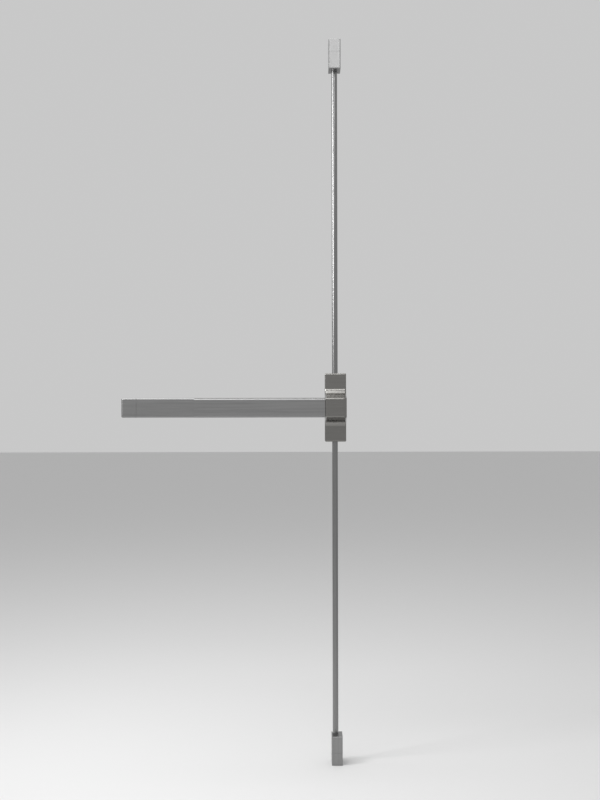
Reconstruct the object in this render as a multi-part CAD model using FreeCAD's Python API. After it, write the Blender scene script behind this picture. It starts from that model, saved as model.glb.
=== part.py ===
"""Panic exit bar with a touch bar, a centre case and two vertical rods, for a door leaf.

Frame: +X runs along the bar towards the case, +Y points into the door, +Z is up.
The door face is the plane y = 0, so the device fills y < 0. A "depth" is the distance
in front of the door face. The origin is the centre of the case's bolt pattern.
"""
import FreeCAD
import Part
import math
import os

# ---------------------------------------------------------------- clearances
GAP = 0.3                    # between faces that move past each other or butt loosely
PIVOT_GAP = 0.08             # radial, round a pivot
FIT_GAP = 0.05               # radial, round a fixed pin, screw or rivet

# ---------------------------------------------------------------- centre case
CASE_WIDTH = 64.0
CASE_HEIGHT = 206.0
CASE_DEPTH = 32.0
CASE_WALL = 2.0
CASE_EDGE_RADIUS = 4.0
NOSE_HEIGHT = 56.0
NOSE_DEPTH = 89.0
NOSE_EDGE_RADIUS = 12.0      # of the nose's upright edge away from the bar
RAMP_RADIUS = 20.0
RAMP_ANGLE = 75.0            # of the ramp's flank to the door face
CHASSIS_PLATE = 3.0
CHASSIS_FLANGE = 2.5
CASE_BOLT_RADIUS = 3.25
CASE_BOLT_SPACING_X = 44.0
CASE_BOLT_SPACING_Z = 168.0
CASE_SCREW_INSET = 11.0      # from the case's side
CHASSIS_FLANGE_INSET = 1.0   # of the flanges from the plate's edge
TONGUE_HALF_HEIGHT = 12.0
TONGUE_LENGTH = 44.0
TONGUE_THICKNESS = 2.5
TONGUE_ROOT = 4.0            # overlap of the tongue with the plate that carries it
SCREW_RADIUS = 1.5
SCREW_REACH = 2.0            # of a screw's tip past the last wall

# ---------------------------------------------------------------- bar
BAR_LENGTH = 609.0           # from the case's side to the end of the end cap
BAR_HEIGHT = 58.5
BAR_DEPTH = 53.0             # of the fixed part
RAIL_WALL = 1.4
RAIL_WEB = 2.0
LID_THICKNESS = 2.2
LID_SIDE = 0.8               # straight part of the lid's sides, behind its rounded edge
RIB_WIDTH = 1.5
RIB_HEIGHT = 2.0
RAIL_SCREW_RADIUS = 2.5
RAIL_SCREW_HEAD = 2.2
RAIL_SCREW_HEAD_RADIUS = 3.5
RAIL_SCREW_Z = 7.0           # from the bar's middle line
LID_LENGTH = 175.0           # of the filler cover
LID_LEG = 8.0
LID_LEG_WALL = 1.4
END_CAP_LENGTH = 45.0
END_CAP_WALL = 2.0
BAR_EDGE_RADIUS = 5.0
END_EAR_INSET = 23.0         # middle of the ears, from the bar's free end
END_EAR_HALF_LENGTH = 12.0
END_EAR_THICKNESS = 2.5
END_EAR_DEPTH = 22.0
END_SCREW_DEPTH = 13.0
END_BOLT_RADIUS = 2.75
END_BOLT_SPACING_Z = 30.0

# ---------------------------------------------------------------- push pad
PAD_FRONT_DEPTH = 83.0
PAD_BACK_DEPTH = 41.0
PAD_FRONT_WALL = 2.2
PAD_FLANGE_WALL = 1.8
PAD_EDGE_RADIUS = 5.0
PAD_CORNER = 2.0             # chamfer inside the rounded edge
PAD_TRAVEL = 18.0
PAD_CAP_THICKNESS = 1.5
PAD_SIDE_GAP = 0.6
PAD_LIP_HALF_HEIGHT = 14.0   # inner face of the T-slot's sides
PAD_LIP_WALL = 1.5
PAD_LIP_HOOK = 3.0
PAD_PLUG = 6.0               # of the caps' plug inside the pad
PAD_PLUG_WALL = 1.5
HANGER_BASE = 2.5
HANGER_HALF_LENGTH = 15.0
HANGER_FOOT = 12.0           # half width of the cheeks at the base
HANGER_EYE_RADIUS = 5.0
CHEEK_THICKNESS = 2.0
BUFFER_START = 34.0          # from the crank's pivot towards the case
BUFFER_LENGTH = 12.0
BUFFER_MARGIN = 6.0          # from the rail's rib

# ---------------------------------------------------------------- cranks
CRANK_PIVOT_DEPTH = 36.0
CRANK_PAD_ARM = 25.0         # along the bar, to the hanger's pin
CRANK_BAR_ARM = 22.0         # towards the door, to the draw bar
CRANK_PLATE = 3.0
CRANK_PIN_RADIUS = 2.5
PIVOT_PIN_RADIUS = 3.0
CRANK_HUB_WALL = 3.0
CRANK_PAD_HALF_WIDTH = 5.5
CRANK_BAR_HALF_WIDTH = 5.0
CRANK_SPREAD = 0.5           # between the draw bar and each plate
REAR_CRANK_INSET = 60.0      # pivot, from the pad's free end
FRONT_CRANK_INSET = 97.0     # pivot, from the pad's end at the case
PIN_HEAD = 0.8
PIN_HEAD_OVERLAP = 1.2
PIVOT_HEAD = 1.5
BRACKET_THICKNESS = 2.0
BRACKET_HALF_LENGTH = 18.0
BRACKET_FOOT = 11.0          # half width of the cheeks at the rail
BRACKET_EYE_RADIUS = 6.5
BRACKET_PLAY = 1.4           # between hanger and bracket
RIVET_RADIUS = 1.6
RIVET_HEAD_RADIUS = 2.8
RIVET_HEAD = 1.3
RIVET_OFFSET_X = 14.0
SPRING_RIVET_OFFSET_Z = 6.5
RIVET_START = 0.2            # of rivets and screws, off the door face

# ---------------------------------------------------------------- draw bar
DRAW_BAR_THICKNESS = 5.0     # across the bar
DRAW_BAR_DEPTH = 15.0
HEAD_PLATE = 3.0
HEAD_HALF_HEIGHT = 14.0
HEAD_PIN_Z = 8.0
HEAD_LEFT = -22.0
HEAD_NECK = 7.0              # half height of the head plate where it lies on the bar
HEAD_NECK_LENGTH = 14.0
HEAD_SHOULDER = 6.0
HEAD_EDGE = 4.5              # past the pins
DRAW_BAR_RIGHT = -12.0
DRAW_BAR_TAIL = 42.0         # past the rear crank's pivot
GUIDE_OFFSET = 38.0          # of the front guide, from the front crank's pivot
GUIDE_HALF_LENGTH = 6.0
GUIDE_FOOT = 3.0
GUIDE_WALL = 4.0
GUIDE_DROP = 2.0             # of the guides' top below the draw bar's front
SPRING_BRACKET_OFFSET = 72.0 # from the rear crank's pivot
SPRING_BRACKET_LENGTH = 20.0
SPRING_BRACKET_LEG = 2.5
SPRING_BRACKET_MARGIN = 10.0 # of the leg past the spring rod
SPRING_ROD_RADIUS = 3.0
SPRING_ROD_TAIL = 8.0
SPRING_TAB_LENGTH = 18.0
SPRING_TAB_HALF_DEPTH = 4.0
SPRING_TAB_THICKNESS = 2.5
SPRING_ROOT = 6.0
COLLAR_LENGTH = 4.0
RETURN_WIRE_RADIUS = 0.8
RETURN_COIL_RADIUS = 6.2
RETURN_TURNS = 8
COIL_STEPS = 12
WIRE_SIDES = 6
RETURN_LENGTH = 52.0

# ---------------------------------------------------------------- levers
LEVER_PIVOT_X = 18.0         # from the rods' line
LEVER_PIVOT_Z = 28.0
LEVER_PLATE = 3.0
LEVER_HALF_WIDTH = 5.0
LEVER_PIN_RADIUS = 2.5
LEVER_POST_RADIUS = 4.0
LEVER_POST_SHOULDER = 6.0
LEVER_POST_HEAD = 1.5
LEVER_EYE_WALL = 4.0

# ---------------------------------------------------------------- rods
ROD_X = -1.5
ROD_DEPTH = 18.0
ROD_RADIUS = 8.5
ROD_WALL = 1.5
ROD_START = 29.0             # of the rods' inner ends, inside the case's ends
CARRIER_HALF_WIDTH = 8.0
CARRIER_LENGTH = 18.0
CARRIER_START = 4.5          # below its pin
CARRIER_MARGIN = 7.5         # in front of the rod's line
CARRIER_CHAMFER = 1.5
STUD_DEPTH = 12.0            # in the carrier
ROD_PLUG = 14.0
STUD_RADIUS = 4.0
NUT_ACROSS_FLATS = 13.0
NUT_THICKNESS = 6.5
BUSH_WALL = 1.2
BUSH_FLANGE = 1.6
BUSH_FLANGE_RADIUS = 10.4
PIN_END = 0.6                # of a pin past the slot that it rides in

# ---------------------------------------------------------------- latch cases and strikes
TOP_UNIT_WIDTH = 35.5
BOTTOM_UNIT_WIDTH = 32.2
BOTTOM_UNIT_SHIFT = 4.0      # of the bottom unit past the rod's line
UNIT_DEPTH = 55.0
UNIT_WALL = 1.5
UNIT_RADIUS = 2.5
UNIT_PLATE = 2.5
TOP_LATCH_START = 1012.0
TOP_LATCH_HEIGHT = 51.3
TOP_STRIKE_HEIGHT = 37.7
BOTTOM_LATCH_START = 982.4
BOTTOM_LATCH_HEIGHT = 48.6
BOTTOM_STRIKE_HEIGHT = 37.4
BOLT_RADIUS = 7.0
BOLT_THROW = 12.0            # past the end of the latch case
BOLT_COLLAR_RADIUS = 10.4
BOLT_COLLAR = 3.0
BOLT_WIRE_RADIUS = 0.6
BOLT_COIL_RADIUS = 9.4
BOLT_SPRING_TURNS = 5
UNIT_BOLT_RADIUS = 2.0
UNIT_BOLT_SPACING_Z = 24.0
TOP_LATCH_BOLT_SPACING_X = 25.6
BOTTOM_LATCH_BOLT_X = 12.8   # past the rod's line
STRIKE_BOLT_SPACING_X = 18.0
STRIKE_BOLT_Z = 24.4         # past the joint between latch case and strike
UNIT_FLANGE_MARGIN = 4.0     # of the flanges in front of the bush
TAB_DEPTH = 10.0
TAB_HALF_LENGTH = 5.0
TAB_THICKNESS = 2.0
UNIT_SCREW_DEPTH = 7.0
LATCH_SCREW_Z = 24.0         # past the start of the latch case
LATCH_BOLT_Z = 22.0          # middle of the fixing holes, past the start of the latch case
STRIKE_SCREW_Z = 12.0        # past the start of the strike
BOLT_SPRING_LENGTH = 23.5
BOLT_SPIGOT = 16.0           # of the bolt in the rod's tube
BOLT_CHAMFER = (2.5, 3.0)    # radial, along the bolt
BOLT_CLEARANCE = 0.6         # radial, in the covers

# ---------------------------------------------------------------- worked-out values
UP = FreeCAD.Vector(0, 0, 1)
RIGHT = FreeCAD.Vector(1, 0, 0)
OUT = FreeCAD.Vector(0, -1, 0)

CASE_LEFT = -CASE_WIDTH / 2
RAIL_RIGHT = CASE_LEFT - GAP
BAR_LEFT = CASE_LEFT - BAR_LENGTH
RAIL_LEFT = BAR_LEFT + END_CAP_LENGTH
LID_RIGHT = RAIL_LEFT + LID_LENGTH
PAD_LEFT = LID_RIGHT + PAD_SIDE_GAP
PAD_RIGHT = CASE_LEFT - PAD_SIDE_GAP
RAIL_INNER = BAR_HEIGHT / 2 - RAIL_WALL
RAIL_FRONT = BAR_DEPTH - BAR_EDGE_RADIUS - LID_SIDE
PAD_HALF_HEIGHT = RAIL_INNER - GAP
PAD_INNER_FRONT = PAD_FRONT_DEPTH - PAD_FRONT_WALL
RIB_INNER = TONGUE_HALF_HEIGHT + GAP
CASE_SCREW_X = CASE_WIDTH / 2 - CASE_SCREW_INSET
CASE_SCREW_DEPTH = CASE_DEPTH / 2
CASE_FLANGE_Z = CASE_HEIGHT / 2 - CASE_WALL - GAP    # outer face of the chassis flanges
CHASSIS_HALF_WIDTH = CASE_WIDTH / 2 - CASE_WALL - GAP
END_EAR_X = BAR_LEFT + END_EAR_INSET
REAR_CRANK_X = PAD_LEFT + REAR_CRANK_INSET
FRONT_CRANK_X = PAD_RIGHT - FRONT_CRANK_INSET
HANGER_PIN_DEPTH = CRANK_PIVOT_DEPTH + PAD_TRAVEL / 2
CRANK_SWING = math.atan2(PAD_TRAVEL / 2, CRANK_PAD_ARM)
DRAW_BAR_TRAVEL = 2 * CRANK_BAR_ARM * math.sin(CRANK_SWING)
DRAW_BAR_BACK = CHASSIS_PLATE + GAP + HEAD_PLATE
DRAW_BAR_LEFT = REAR_CRANK_X - DRAW_BAR_TAIL
SPRING_BRACKET_X = REAR_CRANK_X - SPRING_BRACKET_OFFSET
SPRING_ROD_DEPTH = DRAW_BAR_BACK + DRAW_BAR_DEPTH / 2
GUIDE_X = ((REAR_CRANK_X + FRONT_CRANK_X) / 2, FRONT_CRANK_X + GUIDE_OFFSET)
CRANK_OUTER = DRAW_BAR_THICKNESS / 2 + CRANK_SPREAD + CRANK_PLATE
CHEEK_INNER = CRANK_OUTER + 2 * GAP
BRACKET_INNER = CHEEK_INNER + CHEEK_THICKNESS + BRACKET_PLAY
LEVER_SWING = math.atan2(DRAW_BAR_TRAVEL / 2, LEVER_PIVOT_Z - HEAD_PIN_Z)
ROD_TRAVEL = 2 * LEVER_PIVOT_X * math.tan(LEVER_SWING)
LEVER_BACK = DRAW_BAR_BACK + GAP
CARRIER_BACK = LEVER_BACK + LEVER_PLATE + GAP
CARRIER_PIN_Z = LEVER_PIVOT_Z + ROD_TRAVEL / 2
CARRIER_START_Z = CARRIER_PIN_Z - CARRIER_START
CARRIER_END_Z = CARRIER_START_Z + CARRIER_LENGTH
CARRIER_FRONT = ROD_DEPTH + CARRIER_MARGIN
ROD_START_Z = CASE_HEIGHT / 2 - ROD_START
ROD_BORE = ROD_RADIUS - ROD_WALL
BUSH_BORE = ROD_RADIUS + PIVOT_GAP
BUSH_RADIUS = BUSH_BORE + BUSH_WALL
NOTCH_HALF_WIDTH = ROD_RADIUS + 0.7


# ---------------------------------------------------------------- helpers
def at(x, depth, z):
    """Point from its place along the bar, its depth in front of the door and its height."""
    return FreeCAD.Vector(x, -depth, z)


def block(x0, x1, depth0, depth1, z0, z1):
    """Box between two places along the bar, two depths and two heights."""
    corner = at(min(x0, x1), max(depth0, depth1), min(z0, z1))
    return Part.makeBox(abs(x1 - x0), abs(depth1 - depth0), abs(z1 - z0), corner)


def rod_between(radius, start, end):
    """Solid cylinder between two points."""
    along = end.sub(start)
    return Part.makeCylinder(radius, along.Length, start, along)


def upright(radius, x, depth, z0, z1):
    """Cylinder parallel to the door's edge."""
    return rod_between(radius, at(x, depth, min(z0, z1)), at(x, depth, max(z0, z1)))


def outward(radius, x, z, depth0, depth1):
    """Cylinder square to the door face."""
    return rod_between(radius, at(x, depth0, z), at(x, depth1, z))


def drilled(shape, cutters):
    """The shape with every cutter taken away."""
    return shape.cut(Part.makeCompound(cutters)) if cutters else shape


def joined(first, *others):
    """One solid from pieces that meet."""
    shape = first
    for other in others:
        shape = shape.fuse(other)
    return shape.removeSplitter()


def flat_face(corners):
    """Flat face through the corners."""
    return Part.Face(Part.makePolygon(corners + corners[:1]))


def section_along_bar(points, x0, x1):
    """Extrudes a (depth, z) outline from x0 to x1."""
    return flat_face([at(x0, depth, z) for depth, z in points]).extrude(RIGHT * (x1 - x0))


def flat_plate(points, depth0, depth1):
    """Extrudes an (x, z) outline from depth0 to depth1."""
    return flat_face([at(x, depth0, z) for x, z in points]).extrude(OUT * (depth1 - depth0))


def long_front_edges(shape, depth, half_height):
    """The two long edges at the front of a section that runs along the bar."""
    return [edge for edge in shape.Edges if abs(edge.CenterOfMass.y + depth) < 0.01
            and abs(edge.CenterOfMass.z) > half_height - 0.01]


def capsule_slot(half_width, start, end, thickness, normal):
    """Long round-ended slot cutter between two centres, thickness deep along normal."""
    along = end.sub(start)
    side = normal.cross(along)
    side.normalize()
    side = side * half_width
    reach = along * (half_width / along.Length)
    first = Part.LineSegment(start + side, end + side).toShape()
    tip = Part.Arc(end + side, end + reach, end - side).toShape()
    second = Part.LineSegment(end - side, start - side).toShape()
    tail = Part.Arc(start - side, start - reach, start + side).toShape()
    return Part.Face(Part.Wire([first, tip, second, tail])).extrude(normal * thickness)


def coil_spring(coil_radius, wire_radius, length, turns, start, direction):
    """Compression spring from its lower end, its wire six-sided so that it stays light."""
    steps = turns * COIL_STEPS
    rise = (length - 2 * wire_radius) / steps
    rings = []
    for step in range(steps + 1):
        angle = 2 * math.pi * step / COIL_STEPS
        ring = []
        for side in range(WIRE_SIDES):
            turn = 2 * math.pi * side / WIRE_SIDES
            reach = coil_radius + wire_radius * math.cos(turn)
            height = wire_radius + rise * step + wire_radius * math.sin(turn)
            ring.append(FreeCAD.Vector(reach * math.cos(angle), reach * math.sin(angle), height))
        rings.append(ring)
    faces = [flat_face(rings[0]), flat_face(rings[-1])]
    for lower, upper in zip(rings, rings[1:]):
        for side in range(WIRE_SIDES):
            after = (side + 1) % WIRE_SIDES
            faces.append(flat_face([lower[side], lower[after], upper[after]]))
            faces.append(flat_face([lower[side], upper[after], upper[side]]))
    spring = Part.Solid(Part.Shell(faces))
    spring.Placement = FreeCAD.Placement(start, FreeCAD.Rotation(UP, direction))
    return spring


def hex_nut(across_flats, bore, x, depth, z0, z1):
    """Nut whose axis is parallel to the rods."""
    radius = across_flats / math.sqrt(3)
    corners = []
    for step in range(6):
        angle = math.radians(60 * step)
        corners.append(at(x + radius * math.cos(angle), depth + radius * math.sin(angle), z0))
    body = flat_face(corners).extrude(UP * (z1 - z0))
    return body.cut(upright(bore, x, depth, z0 - 1, z1 + 1))


def export(name, solids):
    """Writes one node, a single solid or a group of like solids, to its STEP file."""
    group = solids if isinstance(solids, list) else [solids]
    pieces = []
    for shape in group:
        pieces.extend(shape.Solids)
    for piece in pieces:
        if not piece.isValid():
            print("not valid:", name)
    shape = pieces[0] if len(pieces) == 1 else Part.makeCompound(pieces)
    shape.exportStep("parts/" + name + ".step")
    print(name, len(pieces), round(sum(piece.Volume for piece in pieces), 1))


def countersunk(radius, start, end, head_height):
    """Countersunk screw from its flush head at start to its tip at end."""
    along = end.sub(start)
    head = Part.makeCone(2 * radius, radius, head_height, start, along)
    return head.fuse(rod_between(radius, start, end)).removeSplitter()


def countersink(radius, start, end, head_height):
    """Cutter for a countersunk screw, with a clearance all round."""
    along = end.sub(start)
    wide = radius + FIT_GAP
    lead = FreeCAD.Vector(along).normalize() * head_height
    cone = Part.makeCone(wide + radius, wide, head_height, start, along)
    return cone.fuse(rod_between(wide, start - lead, start).fuse(rod_between(wide, start, end + lead)))


# ---------------------------------------------------------------- centre case
def case_outline(inset, back):
    """Side outline of the centre case, set in from its outer skin by inset."""
    angle = math.radians(RAMP_ANGLE)
    arc_depth = CASE_DEPTH + RAMP_RADIUS
    flank_top = arc_depth - RAMP_RADIUS * math.cos(angle)
    arc_z = (NOSE_HEIGHT / 2 + RAMP_RADIUS * math.sin(angle)
             + (NOSE_DEPTH - flank_top) / math.tan(angle))
    radius = RAMP_RADIUS + inset
    front = CASE_DEPTH - inset
    nose = NOSE_DEPTH - inset
    end_z = CASE_HEIGHT / 2 - inset

    def on_arc(turn):
        return arc_depth - radius * math.cos(turn), arc_z - radius * math.sin(turn)

    flank_depth, flank_z = on_arc(angle)
    nose_z = flank_z - (nose - flank_depth) / math.tan(angle)
    half = [(back, end_z), (front, end_z), (front, arc_z), on_arc(angle / 2),
            (flank_depth, flank_z), (nose, nose_z)]
    upper = [at(0, depth, z) for depth, z in half]
    lower = [at(0, depth, -z) for depth, z in reversed(half)]
    edges = [Part.LineSegment(upper[0], upper[1]), Part.LineSegment(upper[1], upper[2]),
             Part.Arc(upper[2], upper[3], upper[4]), Part.LineSegment(upper[4], upper[5]),
             Part.LineSegment(upper[5], lower[0]), Part.LineSegment(lower[0], lower[1]),
             Part.Arc(lower[1], lower[2], lower[3]), Part.LineSegment(lower[3], lower[4]),
             Part.LineSegment(lower[4], lower[5]), Part.LineSegment(lower[5], upper[0])]
    return Part.Face(Part.Wire([edge.toShape() for edge in edges]))


def case_block(inset, back):
    """The case's form as one solid, centred on the bolt pattern."""
    half = CASE_WIDTH / 2 - inset
    face = case_outline(inset, back)
    face.translate(RIGHT * -half)
    return face.extrude(RIGHT * (2 * half))


def nose_plan(inset):
    """Form whose front edge away from the bar is rounded, which trims the nose."""
    half = CASE_WIDTH / 2 - inset
    form = block(-CASE_WIDTH, half, -2, NOSE_DEPTH - inset, -CASE_HEIGHT, CASE_HEIGHT)
    edges = [edge for edge in form.Edges if abs(edge.CenterOfMass.x - half) < 0.01
             and abs(edge.CenterOfMass.y + NOSE_DEPTH - inset) < 0.01]
    return form.makeFillet(NOSE_EDGE_RADIUS - inset, edges)


def rod_notch(x, z0, z1, half_width=NOTCH_HALF_WIDTH):
    """Cutter for a U-shaped notch, open towards the door, that a rod passes through."""
    arch = upright(half_width, x, ROD_DEPTH, z0, z1)
    return arch.fuse(block(x - half_width, x + half_width, -1, ROD_DEPTH, z0, z1))


def case_screw_ends(side, x_side):
    """Head and tip of one cover screw."""
    x = CASE_SCREW_X * x_side
    head = at(x, CASE_SCREW_DEPTH, side * CASE_HEIGHT / 2)
    tip = side * (CASE_FLANGE_Z - CHASSIS_FLANGE - SCREW_REACH)
    return head, at(x, CASE_SCREW_DEPTH, tip)


def four_corners():
    """The four combinations of end and side."""
    return [(side, x_side) for side in (1, -1) for x_side in (1, -1)]


def centre_cover():
    """Pressed steel cover of the centre case, with its nose and ramps."""
    outer = case_block(0, 0)
    half = CASE_WIDTH / 2
    rim = [edge for edge in outer.Edges
           if abs(abs(edge.CenterOfMass.x) - half) < 0.01 and edge.CenterOfMass.y < -0.1]
    rim += [edge for edge in outer.Edges
            if abs(edge.CenterOfMass.x) < 0.01 and (
                abs(abs(edge.CenterOfMass.z) - CASE_HEIGHT / 2) < 0.01
                or abs(edge.CenterOfMass.y + NOSE_DEPTH) < 0.01)
            and edge.CenterOfMass.y < -0.1]
    outer = outer.makeFillet(CASE_EDGE_RADIUS, rim).common(nose_plan(0))
    inner = case_block(CASE_WALL, -1).common(nose_plan(CASE_WALL))
    end = CASE_HEIGHT / 2
    cutters = [inner,
               block(-half - 1, -half + CASE_WALL + 1, -1, DRAW_BAR_BACK + DRAW_BAR_DEPTH + 5 * GAP,
                     -TONGUE_HALF_HEIGHT - 1, TONGUE_HALF_HEIGHT + 1),
               rod_notch(ROD_X, end - CASE_WALL - 1, end + 1),
               rod_notch(ROD_X, -end - 1, -end + CASE_WALL + 1)]
    for side, x_side in four_corners():
        cutters.append(countersink(SCREW_RADIUS, *case_screw_ends(side, x_side), CASE_WALL))
    return drilled(outer, cutters)


def cover_screws():
    """Four countersunk screws through the cover's ends into the chassis flanges."""
    return [countersunk(SCREW_RADIUS, *case_screw_ends(side, x_side), CASE_WALL)
            for side, x_side in four_corners()]


def lever_places():
    """Pivot of the upper and of the lower lever, as side and point on the chassis."""
    x = ROD_X + LEVER_PIVOT_X
    return [(side, x, side * LEVER_PIVOT_Z) for side in (1, -1)]


def rail_screw_places():
    """Places of the screws that hold the rail to the chassis and to the end bracket."""
    chassis_x = RAIL_RIGHT - TONGUE_LENGTH / 2
    bracket_x = RAIL_LEFT + TONGUE_LENGTH / 2 - TONGUE_ROOT
    return [(x, z) for x in (chassis_x, bracket_x) for z in (-RAIL_SCREW_Z, RAIL_SCREW_Z)]


def centre_chassis():
    """Steel base of the centre case, with end flanges and a tongue for the rail."""
    half = CHASSIS_HALF_WIDTH
    end = CASE_FLANGE_Z
    flange_x = half - CHASSIS_FLANGE_INSET
    flange_depth = CASE_DEPTH - CASE_WALL - GAP
    plate = block(-half, half, 0, CHASSIS_PLATE, -end, end)
    flanges = [block(-flange_x, flange_x, 0, flange_depth, side * (end - CHASSIS_FLANGE), side * end)
               for side in (1, -1)]
    tongue = block(RAIL_RIGHT - TONGUE_LENGTH, -half + TONGUE_ROOT, RAIL_WEB, RAIL_WEB + TONGUE_THICKNESS,
                   -TONGUE_HALF_HEIGHT, TONGUE_HALF_HEIGHT)
    body = joined(plate, tongue, *flanges)
    cutters = []
    for x_side in (1, -1):
        for side in (1, -1):
            cutters.append(outward(CASE_BOLT_RADIUS, x_side * CASE_BOLT_SPACING_X / 2,
                                   side * CASE_BOLT_SPACING_Z / 2, -1, CHASSIS_PLATE + 1))
    for side, x_side in four_corners():
        head, tip = case_screw_ends(side, x_side)
        cutters.append(rod_between(SCREW_RADIUS + FIT_GAP, head, tip))
    for side in (1, -1):
        cutters.append(upright(BUSH_RADIUS + FIT_GAP, ROD_X, ROD_DEPTH,
                               side * (end - CHASSIS_FLANGE - 1), side * (end + 1)))
    for side, x, z in lever_places():
        cutters.append(outward(LEVER_POST_RADIUS + FIT_GAP, x, z, -1, CHASSIS_PLATE + 1))
    for x, z in rail_screw_places():
        cutters.append(outward(RAIL_SCREW_RADIUS + FIT_GAP, x, z, -1, RAIL_WEB + TONGUE_THICKNESS + 1))
    return drilled(body, cutters)


def lever_posts():
    """Stepped posts riveted in the chassis, one for each lever."""
    posts = []
    top = LEVER_BACK + LEVER_PLATE + GAP
    for side, x, z in lever_places():
        shank = outward(LEVER_POST_RADIUS, x, z, RIVET_START, top)
        shoulder = outward(LEVER_POST_SHOULDER, x, z, CHASSIS_PLATE, DRAW_BAR_BACK)
        head = outward(LEVER_POST_SHOULDER, x, z, top, top + LEVER_POST_HEAD)
        posts.append(joined(shank, shoulder, head))
    return posts


def rod_bush(x, z_seat, thickness, side):
    """Flanged plastic bush whose collar lies on the inner face of a flange."""
    sleeve = upright(BUSH_RADIUS, x, ROD_DEPTH, z_seat, z_seat + side * thickness)
    collar = upright(BUSH_FLANGE_RADIUS, x, ROD_DEPTH, z_seat, z_seat - side * BUSH_FLANGE)
    bore = upright(BUSH_BORE, x, ROD_DEPTH, z_seat - side * 5, z_seat + side * (thickness + 5))
    return joined(sleeve, collar).cut(bore)


def rod_bushes():
    """Four bushes that guide the rods, at the centre case and at the latch cases."""
    seat = CASE_FLANGE_Z - CHASSIS_FLANGE
    bushes = [rod_bush(ROD_X, side * seat, CHASSIS_FLANGE, side) for side in (1, -1)]
    for side, unit in ((1, TOP_LATCH), (-1, BOTTOM_LATCH)):
        bushes.append(rod_bush(ROD_X, side * unit["bush_seat"], UNIT_PLATE, -side))
    return bushes


# ---------------------------------------------------------------- rail and its ends
def rail():
    """Extruded channel: web on the door, two walls, and two ribs that locate the brackets."""
    half = BAR_HEIGHT / 2
    rib = RAIL_WEB + RIB_HEIGHT
    right = [(0, half), (RAIL_FRONT, half), (RAIL_FRONT, RAIL_INNER), (RAIL_WEB, RAIL_INNER),
             (RAIL_WEB, RIB_INNER + RIB_WIDTH), (rib, RIB_INNER + RIB_WIDTH),
             (rib, RIB_INNER), (RAIL_WEB, RIB_INNER)]
    outline = right + [(depth, -z) for depth, z in reversed(right)]
    body = section_along_bar(outline, RAIL_LEFT, RAIL_RIGHT)
    cutters = [outward(RAIL_SCREW_RADIUS + FIT_GAP, x, z, -1, RAIL_WEB + 1)
               for x, z in rail_screw_places()]
    cutters += [outward(RIVET_RADIUS + FIT_GAP, x, z, -1, RAIL_WEB + 1)
                for x, z in rivet_places()]
    return drilled(body, cutters)


def rail_screws():
    """Pan-head screws through the tongues and the rail's web."""
    screws = []
    seat = RAIL_WEB + TONGUE_THICKNESS
    for x, z in rail_screw_places():
        shank = outward(RAIL_SCREW_RADIUS, x, z, RIVET_START, seat)
        head = outward(RAIL_SCREW_HEAD_RADIUS, x, z, seat, seat + RAIL_SCREW_HEAD)
        screws.append(joined(shank, head))
    return screws


def filler_cover():
    """Lid over the fixed part of the rail, with two legs that clip inside its walls."""
    half = BAR_HEIGHT / 2
    leg = RAIL_INNER - GAP / 2
    leg_inner = leg - LID_LEG_WALL
    leg_end = RAIL_FRONT - LID_LEG
    upper = [(BAR_DEPTH - LID_THICKNESS, leg_inner), (leg_end, leg_inner), (leg_end, leg),
             (RAIL_FRONT, leg), (RAIL_FRONT, half), (BAR_DEPTH, half)]
    outline = upper + [(depth, -z) for depth, z in reversed(upper)]
    body = section_along_bar(outline, RAIL_LEFT + GAP / 2, LID_RIGHT)
    return body.makeFillet(BAR_EDGE_RADIUS, long_front_edges(body, BAR_DEPTH, half))


def end_screw_ends(side):
    """Head and tip of one end-cap screw."""
    half = BAR_HEIGHT / 2
    tip = half - END_CAP_WALL - GAP - END_EAR_THICKNESS - SCREW_REACH
    return at(END_EAR_X, END_SCREW_DEPTH, side * half), at(END_EAR_X, END_SCREW_DEPTH, side * tip)


def end_bracket():
    """Bracket on the door that carries the bar's free end, with ears for the end cap."""
    ear_top = BAR_HEIGHT / 2 - END_CAP_WALL - GAP
    right = RAIL_LEFT - 5 * GAP
    base = block(BAR_LEFT + BAR_EDGE_RADIUS + END_CAP_WALL, right, 0, CHASSIS_PLATE, -ear_top, ear_top)
    tongue = block(right - TONGUE_ROOT, RAIL_LEFT + TONGUE_LENGTH - 2 * TONGUE_ROOT, RAIL_WEB,
                   RAIL_WEB + TONGUE_THICKNESS, -TONGUE_HALF_HEIGHT, TONGUE_HALF_HEIGHT)
    ears = [block(END_EAR_X - END_EAR_HALF_LENGTH, END_EAR_X + END_EAR_HALF_LENGTH, 0, END_EAR_DEPTH,
                  side * (ear_top - END_EAR_THICKNESS), side * ear_top) for side in (1, -1)]
    cutters = [outward(END_BOLT_RADIUS, END_EAR_X, side * END_BOLT_SPACING_Z / 2, -1,
                       CHASSIS_PLATE + 1) for side in (1, -1)]
    for side in (1, -1):
        cutters.append(rod_between(SCREW_RADIUS + FIT_GAP, *end_screw_ends(side)))
    for x, z in rail_screw_places():
        cutters.append(outward(RAIL_SCREW_RADIUS + FIT_GAP, x, z, 0.5, 10))
    return drilled(joined(base, tongue, *ears), cutters)


def cap_edges(shape, x_end, depth, half_height):
    """Edges of the end cap that are rounded: its long front edges and those of its end."""
    end_edges = [edge for edge in shape.Edges
                 if abs(edge.CenterOfMass.x - x_end) < 0.01 and edge.CenterOfMass.y < -0.1]
    return long_front_edges(shape, depth, half_height) + end_edges


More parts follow.
